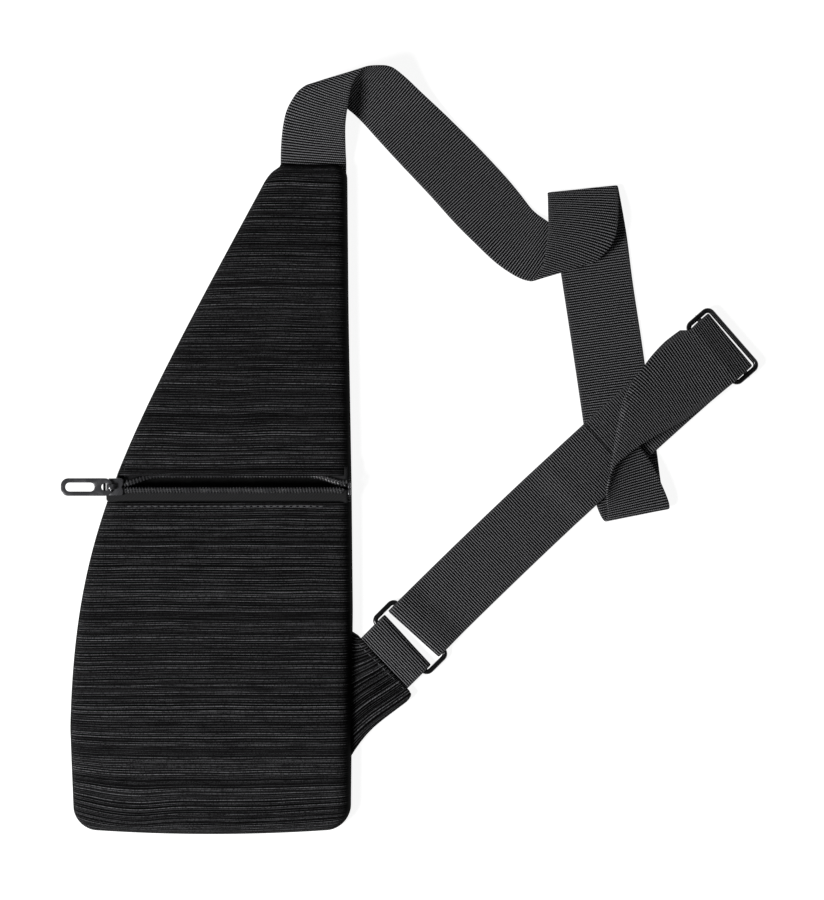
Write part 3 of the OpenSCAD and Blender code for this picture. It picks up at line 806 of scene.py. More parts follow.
def sewn_path():
    """The sewn end's way over the outer bar, round the centre bar and back under itself."""
    angle = over_angle(over_layer(2), WRAP_R)
    base = LOW_Z + CROSSING_RISE - BAR_Z
    up = slanted(2)
    tail = slanted(1)
    path = ([(-34, base + LAYER), (-26, base + 1.15 * LAYER), up[1], up[0]]
            + arc(-BAR_OFFSET, 0, over_layer(2), 110, angle, 7)
            + arc(0, 0, WRAP_R, angle, CROSS_ANGLE - 180, 18)
            + arc(-BAR_OFFSET, 0, over_layer(1), CROSS_ANGLE, 110, 8)
            + [tail[0], (tail[1][0] + 1, tail[1][1] + 0.3)])
    far = [(s, lower_z(s) + LAYER) for s in (CUT_AT, 162, 174, 182, 190)]
    return far + at_adjuster(path)


def slack_loop(rungs, s, bar, reach, wedge):
    """Draws a loop further past its bar, more on one side than on the other."""
    heading = math.radians(heading_at(s))
    along = Vector((math.cos(heading), math.sin(heading), 0))
    origin = Vector((*centre_at(s), 0))
    way = math.copysign(1, reach)

    def drawn(point, amount):
        past = (bar - (point - origin).dot(along)) * way
        return point - along * (way * amount * ramp(past, -3, 3.2))
    return [(drawn(a, abs(reach) - wedge), drawn(b, abs(reach) + wedge)) for a, b in rungs]


def ring_path():
    """The strap's way round the ring: out along the lower layer and back along the upper."""
    low = [(s, lower_z(s)) for s in (CUT_AT, 136, 122, 118, 114, 110, 106, 60, 20)]
    high = [(s, lower_z(s) + LAYER) for s in (60, 106, 110, 114, 118, 122, 136, CUT_AT)]
    climb = [(4, 2 * LOOP_R - 0.2), (9, LOOP_R + 0.8), (14, LAYER + 0.35), (20, LAYER)]
    rise = [(BAR_OFFSET + s, LOW_Z + z) for s, z in climb]
    return low + arc(BAR_OFFSET, RING_Z, LOOP_R, -90, -270, 22) + rise + high


def anchor_path():
    """The short webbing from the wing tab, round the ring's near bar and back."""
    top = RING_Z + LOOP_R
    high = [(-17, 3.75), (-12.6, 3.95), (-8, top - 1), (-4, top - 0.3)]
    low = [(-4, LOW_Z + 0.15), (-8, LOW_Z + 0.8), (-12.6, 2.15), (-17, 2.25)]
    return ([(s - BAR_OFFSET, z) for s, z in high] + arc(-BAR_OFFSET, RING_Z, LOOP_R, 90, -90, 20)
            + [(s - BAR_OFFSET, z) for s, z in low])


# ---- what a user may change ----
class SlingBagLook(bpy.types.PropertyGroup):
    """Colours and patterns of the bag."""

    stripe_pitch: FloatProperty(
        name="Stripe Pitch", description="Distance between the cloth's woven stripes",
        default=0.0013, min=0.0005, max=0.01, subtype="DISTANCE", unit="LENGTH", precision=4)
    stripe_width: FloatProperty(
        name="Stripe Width", description="Half-width of a stripe, as a part of the pitch",
        default=0.15, min=0.02, max=0.5, subtype="FACTOR")
    stripe_color: FloatVectorProperty(
        name="Stripe Colour", description="Colour of the woven stripes",
        default=(0.2, 0.2, 0.21), min=0, max=1, subtype="COLOR")
    rib_pitch: FloatProperty(
        name="Rib Pitch", description="Distance between the webbing's ribs",
        default=0.00138, min=0.0005, max=0.01, subtype="DISTANCE", unit="LENGTH", precision=4)
    # Lighter colour painted on the rib tops: a painted highlight standing in for their sheen.
    rib_highlight_color: FloatVectorProperty(
        name="Webbing Colour", description="Colour of the tops of the webbing's ribs",
        default=(0.24, 0.24, 0.252), min=0, max=1, subtype="COLOR")
    slider_color: FloatVectorProperty(
        name="Slider Colour", description="Plating of the zip's slider and puller",
        default=(0.045, 0.045, 0.049), min=0, max=1, subtype="COLOR")
    hardware_color: FloatVectorProperty(
        name="Hardware Colour", description="Enamel of the ring and adjuster",
        default=(0.005, 0.005, 0.0055), min=0, max=1, subtype="COLOR")


class SlingBagStage(bpy.types.PropertyGroup):
    """Light and floor."""

    key_power: FloatProperty(
        name="Key Light", description="Power of the large light above",
        default=23.0, min=0, max=500, unit="POWER")
    fill_power: FloatProperty(
        name="Fill Light", description="Power of the light from the far side",
        default=1.2, min=0, max=500, unit="POWER")
    surround: FloatProperty(
        name="Surround", description="Strength of the light from all round",
        default=0.05, min=0, max=10)


# ---- operators ----
class SLINGBAG_OT_stage(bpy.types.Operator):
    """Set up the camera, floor, lights and surround"""

    bl_idname = "slingbag.stage"
    bl_label = "Build Stage"

    def execute(self, context):
        stage = context.scene.sling_bag_stage
        self.camera(context.scene)
        self.floor()
        self.light("Key light", (-0.85, -0.45, 1.1), 0.5, stage.key_power)
        self.light("Fill light", (0.8, 0.6, 1.3), 0.9, stage.fill_power)
        world = bpy.data.worlds.new("Surround")
        world.use_nodes = True
        sky = world.node_tree.nodes["Background"]
        sky.inputs["Color"].default_value = (1, 1, 1, 1)
        sky.inputs["Strength"].default_value = stage.surround
        context.scene.world = world
        context.scene.view_settings.view_transform = "Standard"
        return {"FINISHED"}

    def camera(self, scene):
        data = bpy.data.cameras.new("Camera")
        data.lens = 94.5
        data.sensor_width = 36
        data.clip_start = 0.05
        camera = bpy.data.objects.new("Camera", data)
        camera.location = (0.110, 0.0272, 1.3)
        scene.collection.objects.link(camera)
        scene.camera = camera

    def floor(self):
        material = bpy.data.materials.new("Pale Floor")
        material.use_nodes = True
        shader = material.node_tree.nodes["Principled BSDF"]
        shader.inputs["Base Color"].default_value = (0.35, 0.35, 0.35, 1)
        shader.inputs["Roughness"].default_value = 0.9
        shader.inputs["Emission Color"].default_value = (1, 1, 1, 1)
        shader.inputs["Emission Strength"].default_value = 0.9
        bm = bmesh.new()
        bmesh.ops.create_grid(bm, x_segments=1, y_segments=1, size=4)
        bmesh.ops.translate(bm, vec=(0, 0, -0.0002), verts=bm.verts[:])
        mesh = bpy.data.meshes.new("Floor")
        bm.to_mesh(mesh)
        bm.free()
        mesh.materials.append(material)
        floor = bpy.data.objects.new("Floor", mesh)
        bpy.context.scene.collection.objects.link(floor)

    def light(self, name, place, size, power):
        data = bpy.data.lights.new(name, "AREA")
        data.shape = "DISK"
        data.size = size
        data.energy = power
        light = bpy.data.objects.new(name, data)
        light.location = place
        aim = Vector((0.08, 0.02, 0)) - Vector(place)
        light.rotation_euler = aim.to_track_quat("-Z", "Y").to_euler()
        bpy.context.scene.collection.objects.link(light)


def panel(name, ys, heights, finish, body, inset=0.0, fold=None, down=False, painted_shade=False):
    """A panel as wide as the bag at each height, with an optional folded hem at one end."""
    rows, flat, painted_shades = [], [], []
    for y in ys:
        xs = across(y, inset)
        points = np.array([(x, y) for x in xs])
        zs = heights(points)
        row = [(x, drawn_up(x, y), float(z)) for x, z in zip(xs, zs)]
        rows.append(row)
        over = ramp(y, 173, HALF_LENGTH) - ramp(y, -173, -HALF_LENGTH) if painted_shade else 0
        flat.append([(p[0], y + stripe_drift(p[0], y) + over * (DEPTH - p[2])) for p in row])
        # Stripes dim within a few millimetres of both sides, over a wider band at the right: painted
        # shade where the sides roll away from the light.
        right = side_at(RIGHT, y)
        painted_shades.append([ramp(right - x, 1.2, 5.5) * ramp(x - side_at(LEFT, y), 0.2, 2.0)
                      for x in xs])
    if fold is not None:
        edge = rows[-1] if fold > 0 else rows[0]
        extra, extra_flat = [], []
        for turn in (25, 50, 75, 100, 125, 150, 180):
            a = math.radians(turn)
            extra.append([(x, y + fold * 0.7 * math.sin(a), max(BACK, z - 0.7 * (1 - math.cos(a))))
                          for x, y, z in edge])
            extra_flat.append([(x, y + fold * 0.01 * turn) for x, y, z in edge])
        for back in (2.5, 5.0, 7.5):
            far = edge[0][1] - fold * back
            low, high = side_at(LEFT, far) + 0.8, side_at(RIGHT, far) - 0.8
            extra.append([(min(max(x, low), high), far, max(BACK, z - 1.4)) for x, y, z in edge])
            extra_flat.append([(x, y + fold * (back + 2)) for x, y, z in edge])
        held = painted_shades[-1] if fold > 0 else painted_shades[0]
        if fold > 0:
            rows, flat, painted_shades = rows + extra, flat + extra_flat, painted_shades + [held] * len(extra)
        else:
            rows, flat = extra[::-1] + rows, extra_flat[::-1] + flat
            painted_shades = [held] * len(extra) + painted_shades
    if down:
        rows = [row[::-1] for row in rows]
        flat = [row[::-1] for row in flat]
        painted_shades = [row[::-1] for row in painted_shades]
    return cloth(name, rows, flat, finish, body, painted_shade=painted_shades if painted_shade else None)


def uneven_front(points, shift, from_hem, lift):
    """Height of a front panel: level near its seams and hem, and softly uneven elsewhere."""
    d = edge_distance(points)
    soft = np.clip((d - 2) / 14, 0, 1)
    rise = np.array([sag(x + shift, y) for x, y in points])
    return front_height(d, DEPTH) + soft * (rise * np.clip(from_hem / 12, 0.15, 1) + lift)


def lower_front_height(points):
    groove = 0.45 * np.exp(-((points[:, 1] - LOWER_HEM + 2.3) / 0.8) ** 2)
    return uneven_front(points, 0, LOWER_HEM - points[:, 1], 0.25 - groove)


def upper_front_height(points):
    z = uneven_front(points, 40, points[:, 1] - UPPER_HEM, 0.2)
    opening = np.array([ramp(y, 181.3, 182.6) * ramp(x, 36.5, 38.2) * ramp(x, 75.4, 74.2)
                        for x, y in points])
    return np.maximum(z, BACK + opening * 5.7)


class SLINGBAG_OT_front(bpy.types.Operator):
    """Build the front panels and the cloth beside the zip"""

    bl_idname = "slingbag.front"
    bl_label = "Build Front"

    def execute(self, context):
        striped = "Striped Cloth"
        lower = panel("lower_front", graded(-HALF_LENGTH, LOWER_HEM - 0.7, True, False, 2.1),
                      lower_front_height, striped, "bag", fold=1, painted_shade=True)
        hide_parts("front_lower_panel")
        upper = panel("upper_front", graded(UPPER_HEM + 0.7, HALF_LENGTH, False, True, 2.1),
                      upper_front_height, striped, "bag", fold=-1, painted_shade=True)
        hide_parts("front_upper_panel")
        self.beside_zip("left", LEFT, 1)
        self.beside_zip("right", RIGHT, -1)
        self.seam_wall()
        return {"FINISHED"}

    def beside_zip(self, side, chain, inward):
        """Side wall between the hems, turned in under the zip's end."""
        profile = [(0, BACK), (0.08, 3), (0.3, 5), (0.7, 7.4), (1.2, 9), (1.9, 10.1), (2.8, 10.45),
                   (4.5, 10.5), (7, 10.45), (9.5, 10.3)]
        rows, flat, painted_shades = [], [], []
        for i in range(11):
            y = LOWER_HEM - 0.9 + (UPPER_HEM - LOWER_HEM + 1.8) * i / 10
            x = side_at(chain, y)
            points = [(x + inward * d, y, z) for d, z in profile]
            spots = [(x + inward * (d + z), y) for d, z in profile]
            rows.append(points if inward > 0 else points[::-1])
            flat.append(spots if inward > 0 else spots[::-1])
            # Stripes on these walls are dimmed to 0.7: painted shade in the recess at the zip's ends.
            painted_shades.append([0.7] * len(profile))
        obj = cloth("zip_end_wall_" + side, rows, flat, "Striped Cloth",
                    "bag", painted_shade=painted_shades)
        thicken(obj, 0.8)

    def seam_wall(self):
        """The narrow wall under the strap where it enters the top seam."""
        top = [p for p in right_chain() if p[1] > 178] + [(60, HALF_LENGTH), (48, HALF_LENGTH),
                                                         (37.5, HALF_LENGTH)]
        places = ((6.8, 0.95), (3.4, 0.95), (0.1, 0.95), (0.1, 2.1), (0.1, 3.3), (0.1, 4.5))
        rows = [[(x, y - d, z) for x, y in top] for d, z in places]
        flat = [[(x, z - d) for x, y in top] for d, z in places]
        # Stripes on this wall are dimmed to half: painted shade under the strap.
        painted_shades = [[0.5] * len(top)] * len(places)
        obj = cloth("strap_seam_wall", rows, flat, "Striped Cloth",
                    "bag", painted_shade=painted_shades)
        thicken(obj, 0.6)


class SLINGBAG_OT_back(bpy.types.Operator):
    """Build the back panel, its padding and the linings"""

    bl_idname = "slingbag.back"
    bl_label = "Build Back and Linings"

    def execute(self, context):
        ys = graded(-HALF_LENGTH, HALF_LENGTH, True, True, 4)
        back = panel("back_cloth", ys, self.back_height, "Back Cloth",
                     "bag", down=True)
        thicken(back, 0.55)
        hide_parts("back_panel")
        self.padding()
        lining = "Lining Cloth"
        sheets = [
            ("inner_back_lining", "back_lining", -178.5, 178.5, 4.1, 4.4),
            ("lower_lining", "front_lower_lining", -174.5, -7.5, 11.6, 9),
            ("upper_lining", "front_upper_lining", 22.5, 174.5, 11.6, 9),
        ]
        for name, node, low, high, level, inset in sheets:
            def height(points, level=level):
                creases = [0.22 * noise.noise(Vector((x / 13, y / 9, level))) for x, y in points]
                return level + np.array(creases)
            obj = panel(name, graded(low, high, False, False, 3.5), height, lining,
                        "bag", inset=inset)
            thicken(obj, 0.3)
            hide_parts(node)
        return {"FINISHED"}

    def area(self, low, high, inset):
        steps = [low + (high - low) * (i + 0.5) / 60 for i in range(60)]
        widths = [side_at(RIGHT, y) - side_at(LEFT, y) - 2 * inset for y in steps]
        return sum(widths) / 60 * (high - low) * MM * MM

    def back_height(self, points):
        d = edge_distance(points)
        t = np.clip(d / 1.6, 0, 1)
        curl = 0.95 * (1 - np.sqrt(np.clip(1 - (1 - t) ** 2, 0, 1)))
        seam = 0.4 * np.exp(-((d - 6) / 0.8) ** 2)
        soft = np.clip((d - 9) / 10, 0, 1)
        dents = np.array([0.16 * (1 + noise.noise(Vector((x / 30, y / 30, 9)))) for x, y in points])
        return 0.02 + curl + seam + soft * dents

    def padding(self):
        """Foam board in the back, with rounded edges."""
        ys = graded(-178.0, 178.0, True, True, 8)
        rows, flat = [], []
        for y in ys:
            xs = across(y, 4.5, 20)
            end = min(y + 178.0, 178.0 - y)
            top, low = [], []
            for x in xs:
                near = min(x - xs[0], xs[-1] - x, end)
                half = 1.15 * math.sqrt(max(0.04, 1 - (1 - min(near / 1.6, 1)) ** 2))
                top.append((x, y, 2.3 + half))
                low.append((x, y, 2.3 - half))
            rows.append(top + low[::-1])
            flat.append([(x, y) for x, y, z in top + low[::-1]])
        obj = cloth("back_foam", rows, flat, "Lining Cloth", "bag", wrap=True)
        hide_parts("back_padding")


def end_droop(x):
    """How far the closed end of the zip droops towards the bag's lower end."""
    return -1.1 * ramp(x, 69.5, 75)


class SLINGBAG_OT_zip(bpy.types.Operator):
    """Build the zip's tapes, coils and stops"""

    bl_idname = "slingbag.zip"
    bl_label = "Build Zip"

    def execute(self, context):
        tape = "Zip Tape"
        xs = [ZIP_LEFT + (ZIP_RIGHT - ZIP_LEFT) * i / 90 for i in range(91)]
        ys = (-6.0, -3.5, -1.6, -0.4, 0.8, 2.0, 3.2, 4.6, 6.2, 6.75)
        level = (12.25, 12.25, 12.25, 12.4, 12.55, 12.6, 12.6, 12.6, 12.6, 12.55)
        rows, flat = [], []
        for y, z in zip(ys, level):
            tuck = ramp(y, -0.2, -2.5)
            low = ZIP_LEFT + tuck * max(0, side_at(LEFT, y) + 9 - ZIP_LEFT)
            high = ZIP_RIGHT + tuck * min(0, side_at(RIGHT, y) - 8 - ZIP_RIGHT)
            row = [min(max(x, low), high) for x in xs]
            rows.append([(x, y + end_droop(x), z + 0.05 * noise.noise(Vector((x / 6, y / 3, 4))))
                         for x in row])
            flat.append([(x, y) for x in row])
        lower = cloth("lower_tape", rows, flat, tape, "bag")
        thicken(lower, 0.4)
        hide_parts("zip_tape_lower")
        coil = self.coil(ZIP_LEFT + 0.5, 78, 5.3, lambda x: (end_droop(x), 0))
        obj = solid("lower_coil", coil, "Coil Plastic", "bag")
        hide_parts("zip_coil_lower")
        self.half("left", LEFT_DIP[0], LIP_SPLIT, 34, LEFT_DIP,
                  ["zip_tape_upper"], ["zip_coil_upper"])
        self.half("right", LIP_SPLIT, RIGHT_DIP[0] - 0.2, 39, RIGHT_DIP, [], [])
        self.stops()
        return {"FINISHED"}

    def coil(self, start, turns, y, shift):
        """A moulded coil, wound along the tape, with its two rows of thread."""
        bm = bmesh.new()
        place = Matrix.Translation((start * MM, 0, 0.78 * MM)) @ Matrix.Rotation(
            math.pi / 2, 4, "X")
        made = bmesh.ops.create_circle(bm, segments=7, radius=0.47 * MM, matrix=place)
        edges = list({e for v in made["verts"] for e in v.link_edges})
        bmesh.ops.spin(bm, geom=edges, cent=(0, 0, 0), axis=(1, 0, 0), angle=2 * math.pi * turns,
                       steps=turns * COIL_STEPS, dvec=(COIL_PITCH * MM / COIL_STEPS, 0, 0),
                       use_merge=False)
        bmesh.ops.scale(bm, vec=(1, COIL_OVAL, 1), verts=bm.verts[:])
        bmesh.ops.translate(bm, vec=(0, y * MM, COIL_Z * MM), verts=bm.verts[:])
        places = [((start + COIL_PITCH * (i + 0.4), y + side, COIL_Z + 1), 0.5)
                  for i in range(turns) for side in (-0.75, 0.55)]
        add_stitches(bm, places, 1.3, 0.36)
        for v in bm.verts:
            dy, dz = shift(v.co.x / MM)
            v.co.y += dy * MM
            v.co.z += dz * MM
        return bm

    def half(self, side, start, end, turns, dip, tape_nodes, coil_nodes):
        """Half of the upper row, bending between the closed end and the open mouth."""
        def shift(x):
            w = ramp(x, *dip)
            return LIP_OPEN[0] * w, LIP_OPEN[1] * w
        coil = self.coil(start + 0.6, turns, 8.9, shift)
        row = solid("upper_coil_" + side, coil, "Coil Plastic", None)
        count = 44
        xs = [start + (end - start) * i / count for i in range(count + 1)]
        ys = (7.5, 8.2, 9.4, 10.8, 12.4, 14.0, 16.0, 18.0)
        rows = [[(x, y + shift(x)[0], 12.55 + shift(x)[1]) for x in xs] for y in ys]
        flat = [[(x, y) for x in xs] for y in ys]
        tape = cloth("upper_tape_" + side, rows, flat, "Zip Tape", None)
        thicken(tape, 0.4)
        for obj, nodes in ((tape, tape_nodes), (row, coil_nodes)):
            if nodes:
                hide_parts(*nodes)
            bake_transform(obj)

    def stops(self):
        bottom = bmesh.new()
        add_block(bottom, (-58.1, 3.7, 12.7), (-56.7, 10.5, 14.9), 0.35)
        obj = solid("bottom_stop", bottom, "Slider Plating", "bag")
        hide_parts("zip_bottom_stop")
        top = bmesh.new()
        for low, high in ((3.7, 6.9), (7.3, 10.5)):
            add_block(top, (75.1, low - 1.1, 12.3), (76.6, high - 1.1, 14.9), 0.4)
        obj = solid("top_stops", top, "Slider Plating", "bag")
        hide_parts("zip_top_stops")


class SLINGBAG_OT_slider(bpy.types.Operator):
    """Build the slider, its bridge and the puller"""

    bl_idname = "slingbag.slider"
    bl_label = "Build Slider"

    def execute(self, context):
        plan = [(0.3, -3.1), (1.3, -4.2), (3.6, -4.7), (8.4, -4.7), (9.4, -3.9), (9.4, -1.5),
                (8.6, 0), (9.4, 1.5), (9.4, 3.9), (8.4, 4.7), (3.6, 4.7), (1.3, 4.2), (0.3, 3.1)]
        plate = [(-56.4 + x, ZIP_Y + y) for x, y in plan]
        bm = stamped([plate], 15.2, 16.2, 0.32)
        join(bm, stamped([plate], 10.9, 11.8, 0.25))
        for side in (-4.7, 3.7):
            add_block(bm, (-55.0, ZIP_Y + side, 13.0), (-47.6, ZIP_Y + side + 1, 15.5), 0.3)
        add_block(bm, (-50.2, ZIP_Y - 0.14, 11.5), (-47.8, ZIP_Y + 0.02, 15.5), 0.05)
        obj = solid("slider_shell", bm, "Slider Plating", "zip_slider")
        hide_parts("slider_body")
        obj = solid("slider_arch", self.arch(), "Slider Plating",
                    "zip_slider")
        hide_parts("slider_bridge")
        obj = solid("puller_plate", self.puller(), "Slider Plating",
                    "puller")
        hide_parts("zip_puller")
        return {"FINISHED"}

    def arch(self):
        """A flat strap of metal bent over the puller's pin."""
        bm = bmesh.new()
        bmesh.ops.create_grid(bm, x_segments=1, y_segments=1, size=0.5)
        bmesh.ops.scale(bm, vec=(0.9 * MM, 2.6 * MM, 1), verts=bm.verts[:])
        leg = 1.1 * MM
        bmesh.ops.translate(bm, vec=(2.15 * MM, 0, -leg), verts=bm.verts[:])
        grown = bmesh.ops.extrude_face_region(bm, geom=bm.faces[:])["geom"]
        bmesh.ops.translate(bm, vec=(0, 0, leg), verts=only(bmesh.types.BMVert, grown))
        turned = bmesh.ops.spin(bm, geom=only(bmesh.types.BMFace, grown), cent=(0, 0, 0),
                                axis=(0, -1, 0), angle=math.pi, steps=14, use_merge=False)
        grown = bmesh.ops.extrude_face_region(
            bm, geom=only(bmesh.types.BMFace, turned["geom_last"]))["geom"]
        bmesh.ops.translate(bm, vec=(0, 0, -leg), verts=only(bmesh.types.BMVert, grown))
        bmesh.ops.remove_doubles(bm, verts=bm.verts[:], dist=1e-6)
        bmesh.ops.recalc_face_normals(bm, faces=bm.faces[:])
        bevel_rims(bm, 0.28)
        bmesh.ops.translate(bm, vec=(PIVOT[0] * MM, PIVOT[1] * MM, 17.25 * MM), verts=bm.verts[:])
        return bm

    def puller(self):
        """A stamped loop with a long slot, a round eye and a pin through the arch."""
        tip, end, half, r = -80.6, -52.8, 4.8, 4.0

        def rounded(low, high, side, radius):
            return (arc(high - radius, side - radius, radius, 90, 0, 8)
                    + arc(high - radius, radius - side, radius, 0, -90, 8)
                    + arc(low + radius, radius - side, radius, 270, 180, 8)
                    + arc(low + radius, side - radius, radius, 180, 90, 8))
        body = rounded(tip, end, half, r)
        notch = [(end - 1.2, 2.0), (end - 1.2, -2.0)]
        outer = ([p for p in body if p[1] > 2.2 and p[0] > tip + r] + [(end, 2.2)] + notch
                 + [(end, -2.2)] + [p for p in body if p[1] < -2.2 and p[0] > tip + r]
                 + [p for p in body if p[0] <= tip + r])
        outer = [(x, y) for i, (x, y) in enumerate(outer)
                 if i == 0 or math.dist((x, y), outer[i - 1]) > 1e-4]
        slot = rounded(-78.2, -62.3, 2.4, 2.3)
        eye = arc(-56.6, 0, 2.1, 0, 345, 23)
        loops = [[(x, y + PIVOT[1]) for x, y in loop] for loop in (outer, slot, eye)]
        bm = stamped(loops, PIVOT[2] - 0.7, PIVOT[2] + 0.7, 0.24)
        pin = bmesh.new()
        bmesh.ops.create_cone(pin, cap_ends=True, segments=20, radius1=0.7 * MM, radius2=0.7 * MM,
                              depth=5.2 * MM, matrix=Matrix.Translation(
                                  [c * MM for c in PIVOT]) @ Matrix.Rotation(math.pi / 2, 4, "X"))
        bevel_rims(pin, 0.12)
        join(bm, pin)
        return bm


class SLINGBAG_OT_wing(bpy.types.Operator):
    """Build the wing tab at the bag's side and its short webbing"""

    bl_idname = "slingbag.wing"
    bl_label = "Build Wing Tab"

    def execute(self, context):
        obj = self.sheet_over("wing_front", 1.25, 5.65, 26, 46)
        thicken(obj, 0.75)
        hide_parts("wing_tab_front")
        rows, flat = [], []
        for i in range(9):
            row = [self.place(i / 8, k / 20) for k in range(21)]
            rows.append([(x, y, 0.3) for x, y in row][::-1])
            flat.append([(x, y) for x, y in row][::-1])
        obj = cloth("wing_back", rows[::-1], flat[::-1], "Back Cloth",
                    "bag")
        self.face_down(obj)
        thicken(obj, 0.8)
        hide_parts("wing_tab_back")
        loop = slack_loop(rungs_along(anchor_path()), 0, -BAR_OFFSET, -3.2, 0.8)
        webbing_strip("anchor_loop", loop, ["anchor_webbing"], "bag")
        return {"FINISHED"}

    def face_down(self, obj):
        if obj.data.polygons[0].normal.z > 0:
            obj.data.flip_normals()

    def place(self, u, v):
        """A point of the wing: u from the bag to the ring, v from its upper side to its lower."""
        near = Vector((75.6, -71.5 - 71.2 * v))
        corner = smoothed([Vector(p) for p in (
            (80.3, -74.5), (93.8, -89.1), (107.3, -103.7), (109.5, -107.2), (106.7, -111.4))], 8)
        far = place_along(corner, v)
        low = smoothed([Vector(p) for p in (
            (75.6, -142.7), (79.8, -136), (85.8, -128.4), (93, -121.8), (106.7, -111.4))], 8)
        side = place_along(low, u)
        flat_low = Vector((75.6, -142.7)).lerp(Vector((106.7, -111.4)), u)
        point = near.lerp(far, u) + v * (side - flat_low)
        return point.x, point.y

    def sheet_over(self, name, low, high, across_count, down_count):
        rows, flat, painted_shades = [], [], []
        steps = [0, 0.004, 0.012, 0.03, 0.055, 0.085]
        vs = steps + [0.085 + 0.83 * i / down_count for i in range(1, down_count)] + [
            1 - s for s in reversed(steps)]
        us = [i / across_count for i in range(across_count)] + [0.985, 0.995, 1.0]
        for v in vs:
            row, spots = [], []
            for u in us:
                x, y = self.place(u, v)
                edge = min(v, 1 - v)
                rise = 1 - (1 - min(edge / 0.085, 1)) ** 2.4
                z = low + (high - low) * max(0.0, rise) ** (1 / 2.4)
                z -= 0.75 * (1 - rise_at_end(u))
                z += 0.22 * noise.noise(Vector((x / 9, y / 9, 2))) * min(1, edge * 12)
                row.append((x, y, max(z, low)))
                spots.append((x * 1.1, -v * 38 + 1.2 * math.sin(u * 2.6)))
            rows.append(row[::-1])
            flat.append(spots[::-1])
            # Stripes dim towards the bag's side, where the wing comes out of the seam: painted shade.
            painted_shades.append([ramp(u, 0.0, 0.14) for u in us][::-1])
        obj = cloth(name, rows, flat, "Striped Cloth", "bag",
                    painted_shade=painted_shades)
        if sum(p.normal.z for p in obj.data.polygons) < 0:
            obj.data.flip_normals()
        return obj


def place_along(points, part):
    """The place at a part of a line's whole length."""
    steps = [(b - a).length for a, b in zip(points, points[1:])]
    left = part * sum(steps)
    for a, b, step in zip(points, points[1:], steps):
        if left <= step:
            return a.lerp(b, left / step)
        left -= step
    return points[-1].copy()


def rise_at_end(u):
    """The cloth's edge turns down where the webbing comes out from under it."""
    return math.sqrt(max(0.0, 1 - max(0.0, (u - 0.97) / 0.03) ** 2))


class SLINGBAG_OT_strap(bpy.types.Operator):
    """Build the strap's runs"""

    bl_idname = "slingbag.strap"
    bl_label = "Build Strap"

    def execute(self, context):
        laid = smooth_rungs(TOP_RUN + MIDDLE_RUN, 7)
        _, reached = webbing_strip("strap_upper", laid, ["strap_top_run", "strap_middle_run"],
                                     "bag")
        passing = slack_loop(rungs_along(pass_path()), RING_TO_ADJUSTER, 0, -1.4, 0.3)
        front = smooth_rungs(FRONT_RUN, 7) + passing
        obj, _ = webbing_strip(
            "strap_front", front, ["strap_front_run", "strap_adjuster_pass"], None, reached)
        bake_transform(obj)
        loop = slack_loop(rungs_along(ring_path()), 0, BAR_OFFSET, 2.6, 1.0)
        obj, _ = webbing_strip("strap_ring_end", loop, ["strap_ring_loop"], None, 0.0)
        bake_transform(obj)
        obj, _ = webbing_strip("strap_sewn_loop", rungs_along(sewn_path()),
                                     ["strap_sewn_end"], None, 0.3)
        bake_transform(obj)
        return {"FINISHED"}


def strap_matrix(s, z):
    c = centre_at(s)
    return Matrix.Translation((c[0] * MM, c[1] * MM, z * MM)) @ Matrix.Rotation(
        math.radians(heading_at(s)), 4, "Z")


class SLINGBAG_OT_hardware(bpy.types.Operator):
    """Build the ring and the adjuster"""

    bl_idname = "slingbag.hardware"
    bl_label = "Build Ring and Adjuster"

    def execute(self, context):
        enamel = "Black Enamel"
        ring = self.frame(0, RING_Z)
        obj = solid("wire_ring", ring, enamel, "ring")
        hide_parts("rectangular_ring")
        outer = self.frame(RING_TO_ADJUSTER, BAR_Z)
        obj = solid("wire_adjuster", outer, enamel, "adjuster")
        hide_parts("adjuster_frame")
        obj = solid("crimped_bar", self.bar(), enamel, "adjuster")
        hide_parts("adjuster_bar")
        return {"FINISHED"}

    def frame(self, s, z):
        return wire_frame(2 * BAR_OFFSET, FRAME_WIDTH, FRAME_CORNER, WIRE, strap_matrix(s, z))

    def bar(self):
        """The centre bar, with a collar crimped round each side of the frame."""
        bm = bmesh.new()
        bmesh.ops.create_cone(bm, cap_ends=True, segments=24, radius1=WIRE * MM, radius2=WIRE * MM,
                              depth=(FRAME_WIDTH - 2) * MM, matrix=Matrix.Rotation(math.pi / 2, 4, "X"))
        for side in (-1, 1):
            collar = bmesh.new()
            bmesh.ops.create_circle(collar, segments=16, radius=0.55 * MM, matrix=(
                Matrix.Translation((0, 1.5 * MM, 0)) @ Matrix.Rotation(math.pi / 2, 4, "X")
                @ Matrix.Rotation(math.pi / 2, 4, "Y")))
            bmesh.ops.scale(collar, vec=(2.7, 1, 1), verts=collar.verts[:])
            bmesh.ops.spin(collar, geom=collar.edges[:], cent=(0, 0, 0), axis=(1, 0, 0),
                           angle=2 * math.pi, steps=24, use_merge=True)
            bmesh.ops.translate(collar, vec=(0, side * FRAME_WIDTH / 2 * MM, 0), verts=collar.verts[:])
            join(bm, collar)
        bmesh.ops.transform(bm, matrix=strap_matrix(RING_TO_ADJUSTER, BAR_Z), verts=bm.verts[:])
        return bm


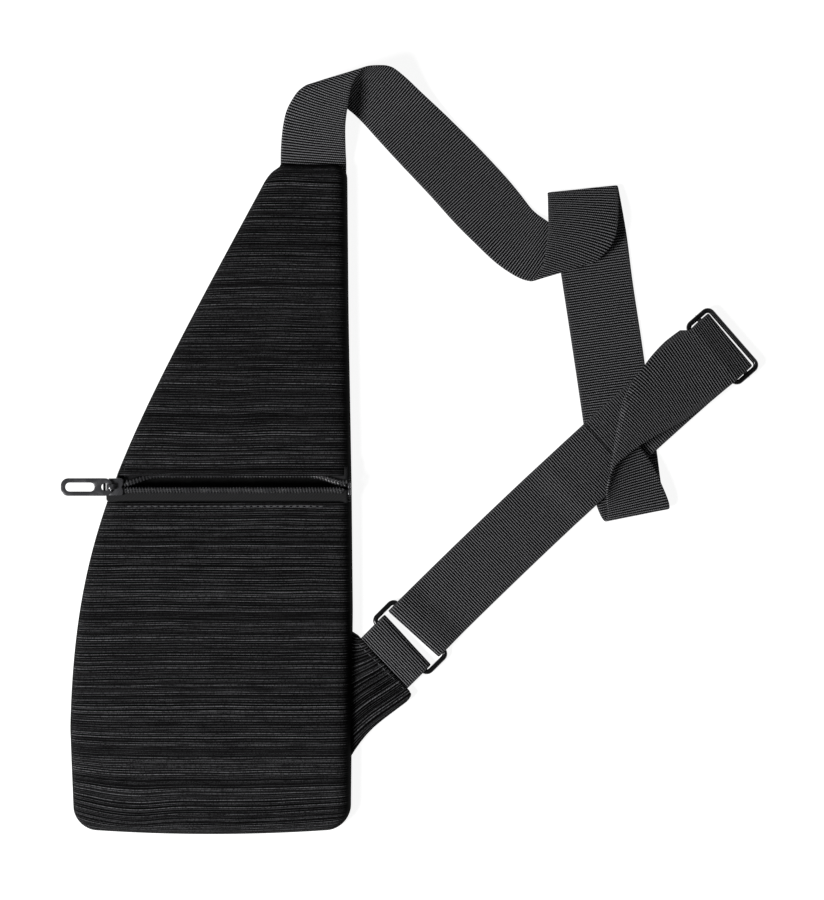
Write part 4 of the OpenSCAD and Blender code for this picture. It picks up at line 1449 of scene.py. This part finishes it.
class SLINGBAG_OT_stitching(bpy.types.Operator):
    """Sew the visible rows of stitches"""

    bl_idname = "slingbag.stitching"
    bl_label = "Build Stitching"

    def execute(self, context):
        thread = "Sewing Thread"
        bm = bmesh.new()
        spots = [(-44.0 + 3.6 * i, LOWER_HEM - 2.3) for i in range(30)]
        heights = lower_front_height(np.array(spots))
        places = [((x, y, float(z) + 0.3), 0.04) for (x, y), z in zip(spots, heights)]
        add_stitches(bm, places, 2.7, 0.7)
        obj = solid("lip_stitches", bm, thread, "bag")
        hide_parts("lip_topstitch")
        bm = bmesh.new()
        places = []
        for i in range(10):
            point = along_strap(-BAR_OFFSET - 14.6, -16.5 + 3.6 * i, 5.55)
            places.append((tuple(point), math.radians(RING_HEADING + 90)))
        add_stitches(bm, places, 2.8, 0.5)
        obj = solid("wing_stitches", bm, thread, "bag")
        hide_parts("wing_stitching")
        return {"FINISHED"}


STEPS = ("stage", "back", "front", "zip", "slider", "wing", "strap", "hardware", "stitching")


class SLINGBAG_PT_panel(bpy.types.Panel):
    """Sizes, colours and building steps"""

    bl_label = "Sling Bag"
    bl_idname = "SLINGBAG_PT_panel"
    bl_space_type = "VIEW_3D"
    bl_region_type = "UI"
    bl_category = "Sling Bag"

    def draw(self, context):
        for group in (context.scene.sling_bag_look, context.scene.sling_bag_stage):
            column = self.layout.column()
            for name in group.__annotations__:
                column.prop(group, name)
        for step in STEPS:
            self.layout.operator("slingbag." + step)


CLASSES = (
    SlingBagLook, SlingBagStage, SLINGBAG_OT_stage, SLINGBAG_OT_back, SLINGBAG_OT_front,
    SLINGBAG_OT_zip, SLINGBAG_OT_slider, SLINGBAG_OT_wing, SLINGBAG_OT_strap,
    SLINGBAG_OT_hardware, SLINGBAG_OT_stitching, SLINGBAG_PT_panel,
)


def register():
    for item in CLASSES:
        bpy.utils.register_class(item)
    bpy.types.Scene.sling_bag_look = PointerProperty(type=SlingBagLook)
    bpy.types.Scene.sling_bag_stage = PointerProperty(type=SlingBagStage)


def unregister():
    del bpy.types.Scene.sling_bag_stage
    del bpy.types.Scene.sling_bag_look
    for item in reversed(CLASSES):
        bpy.utils.unregister_class(item)


def main():
    register()
    make_materials(bpy.context.scene.sling_bag_look)
    for step in STEPS:
        getattr(bpy.ops.slingbag, step)()


if __name__ == "__main__":
    main()
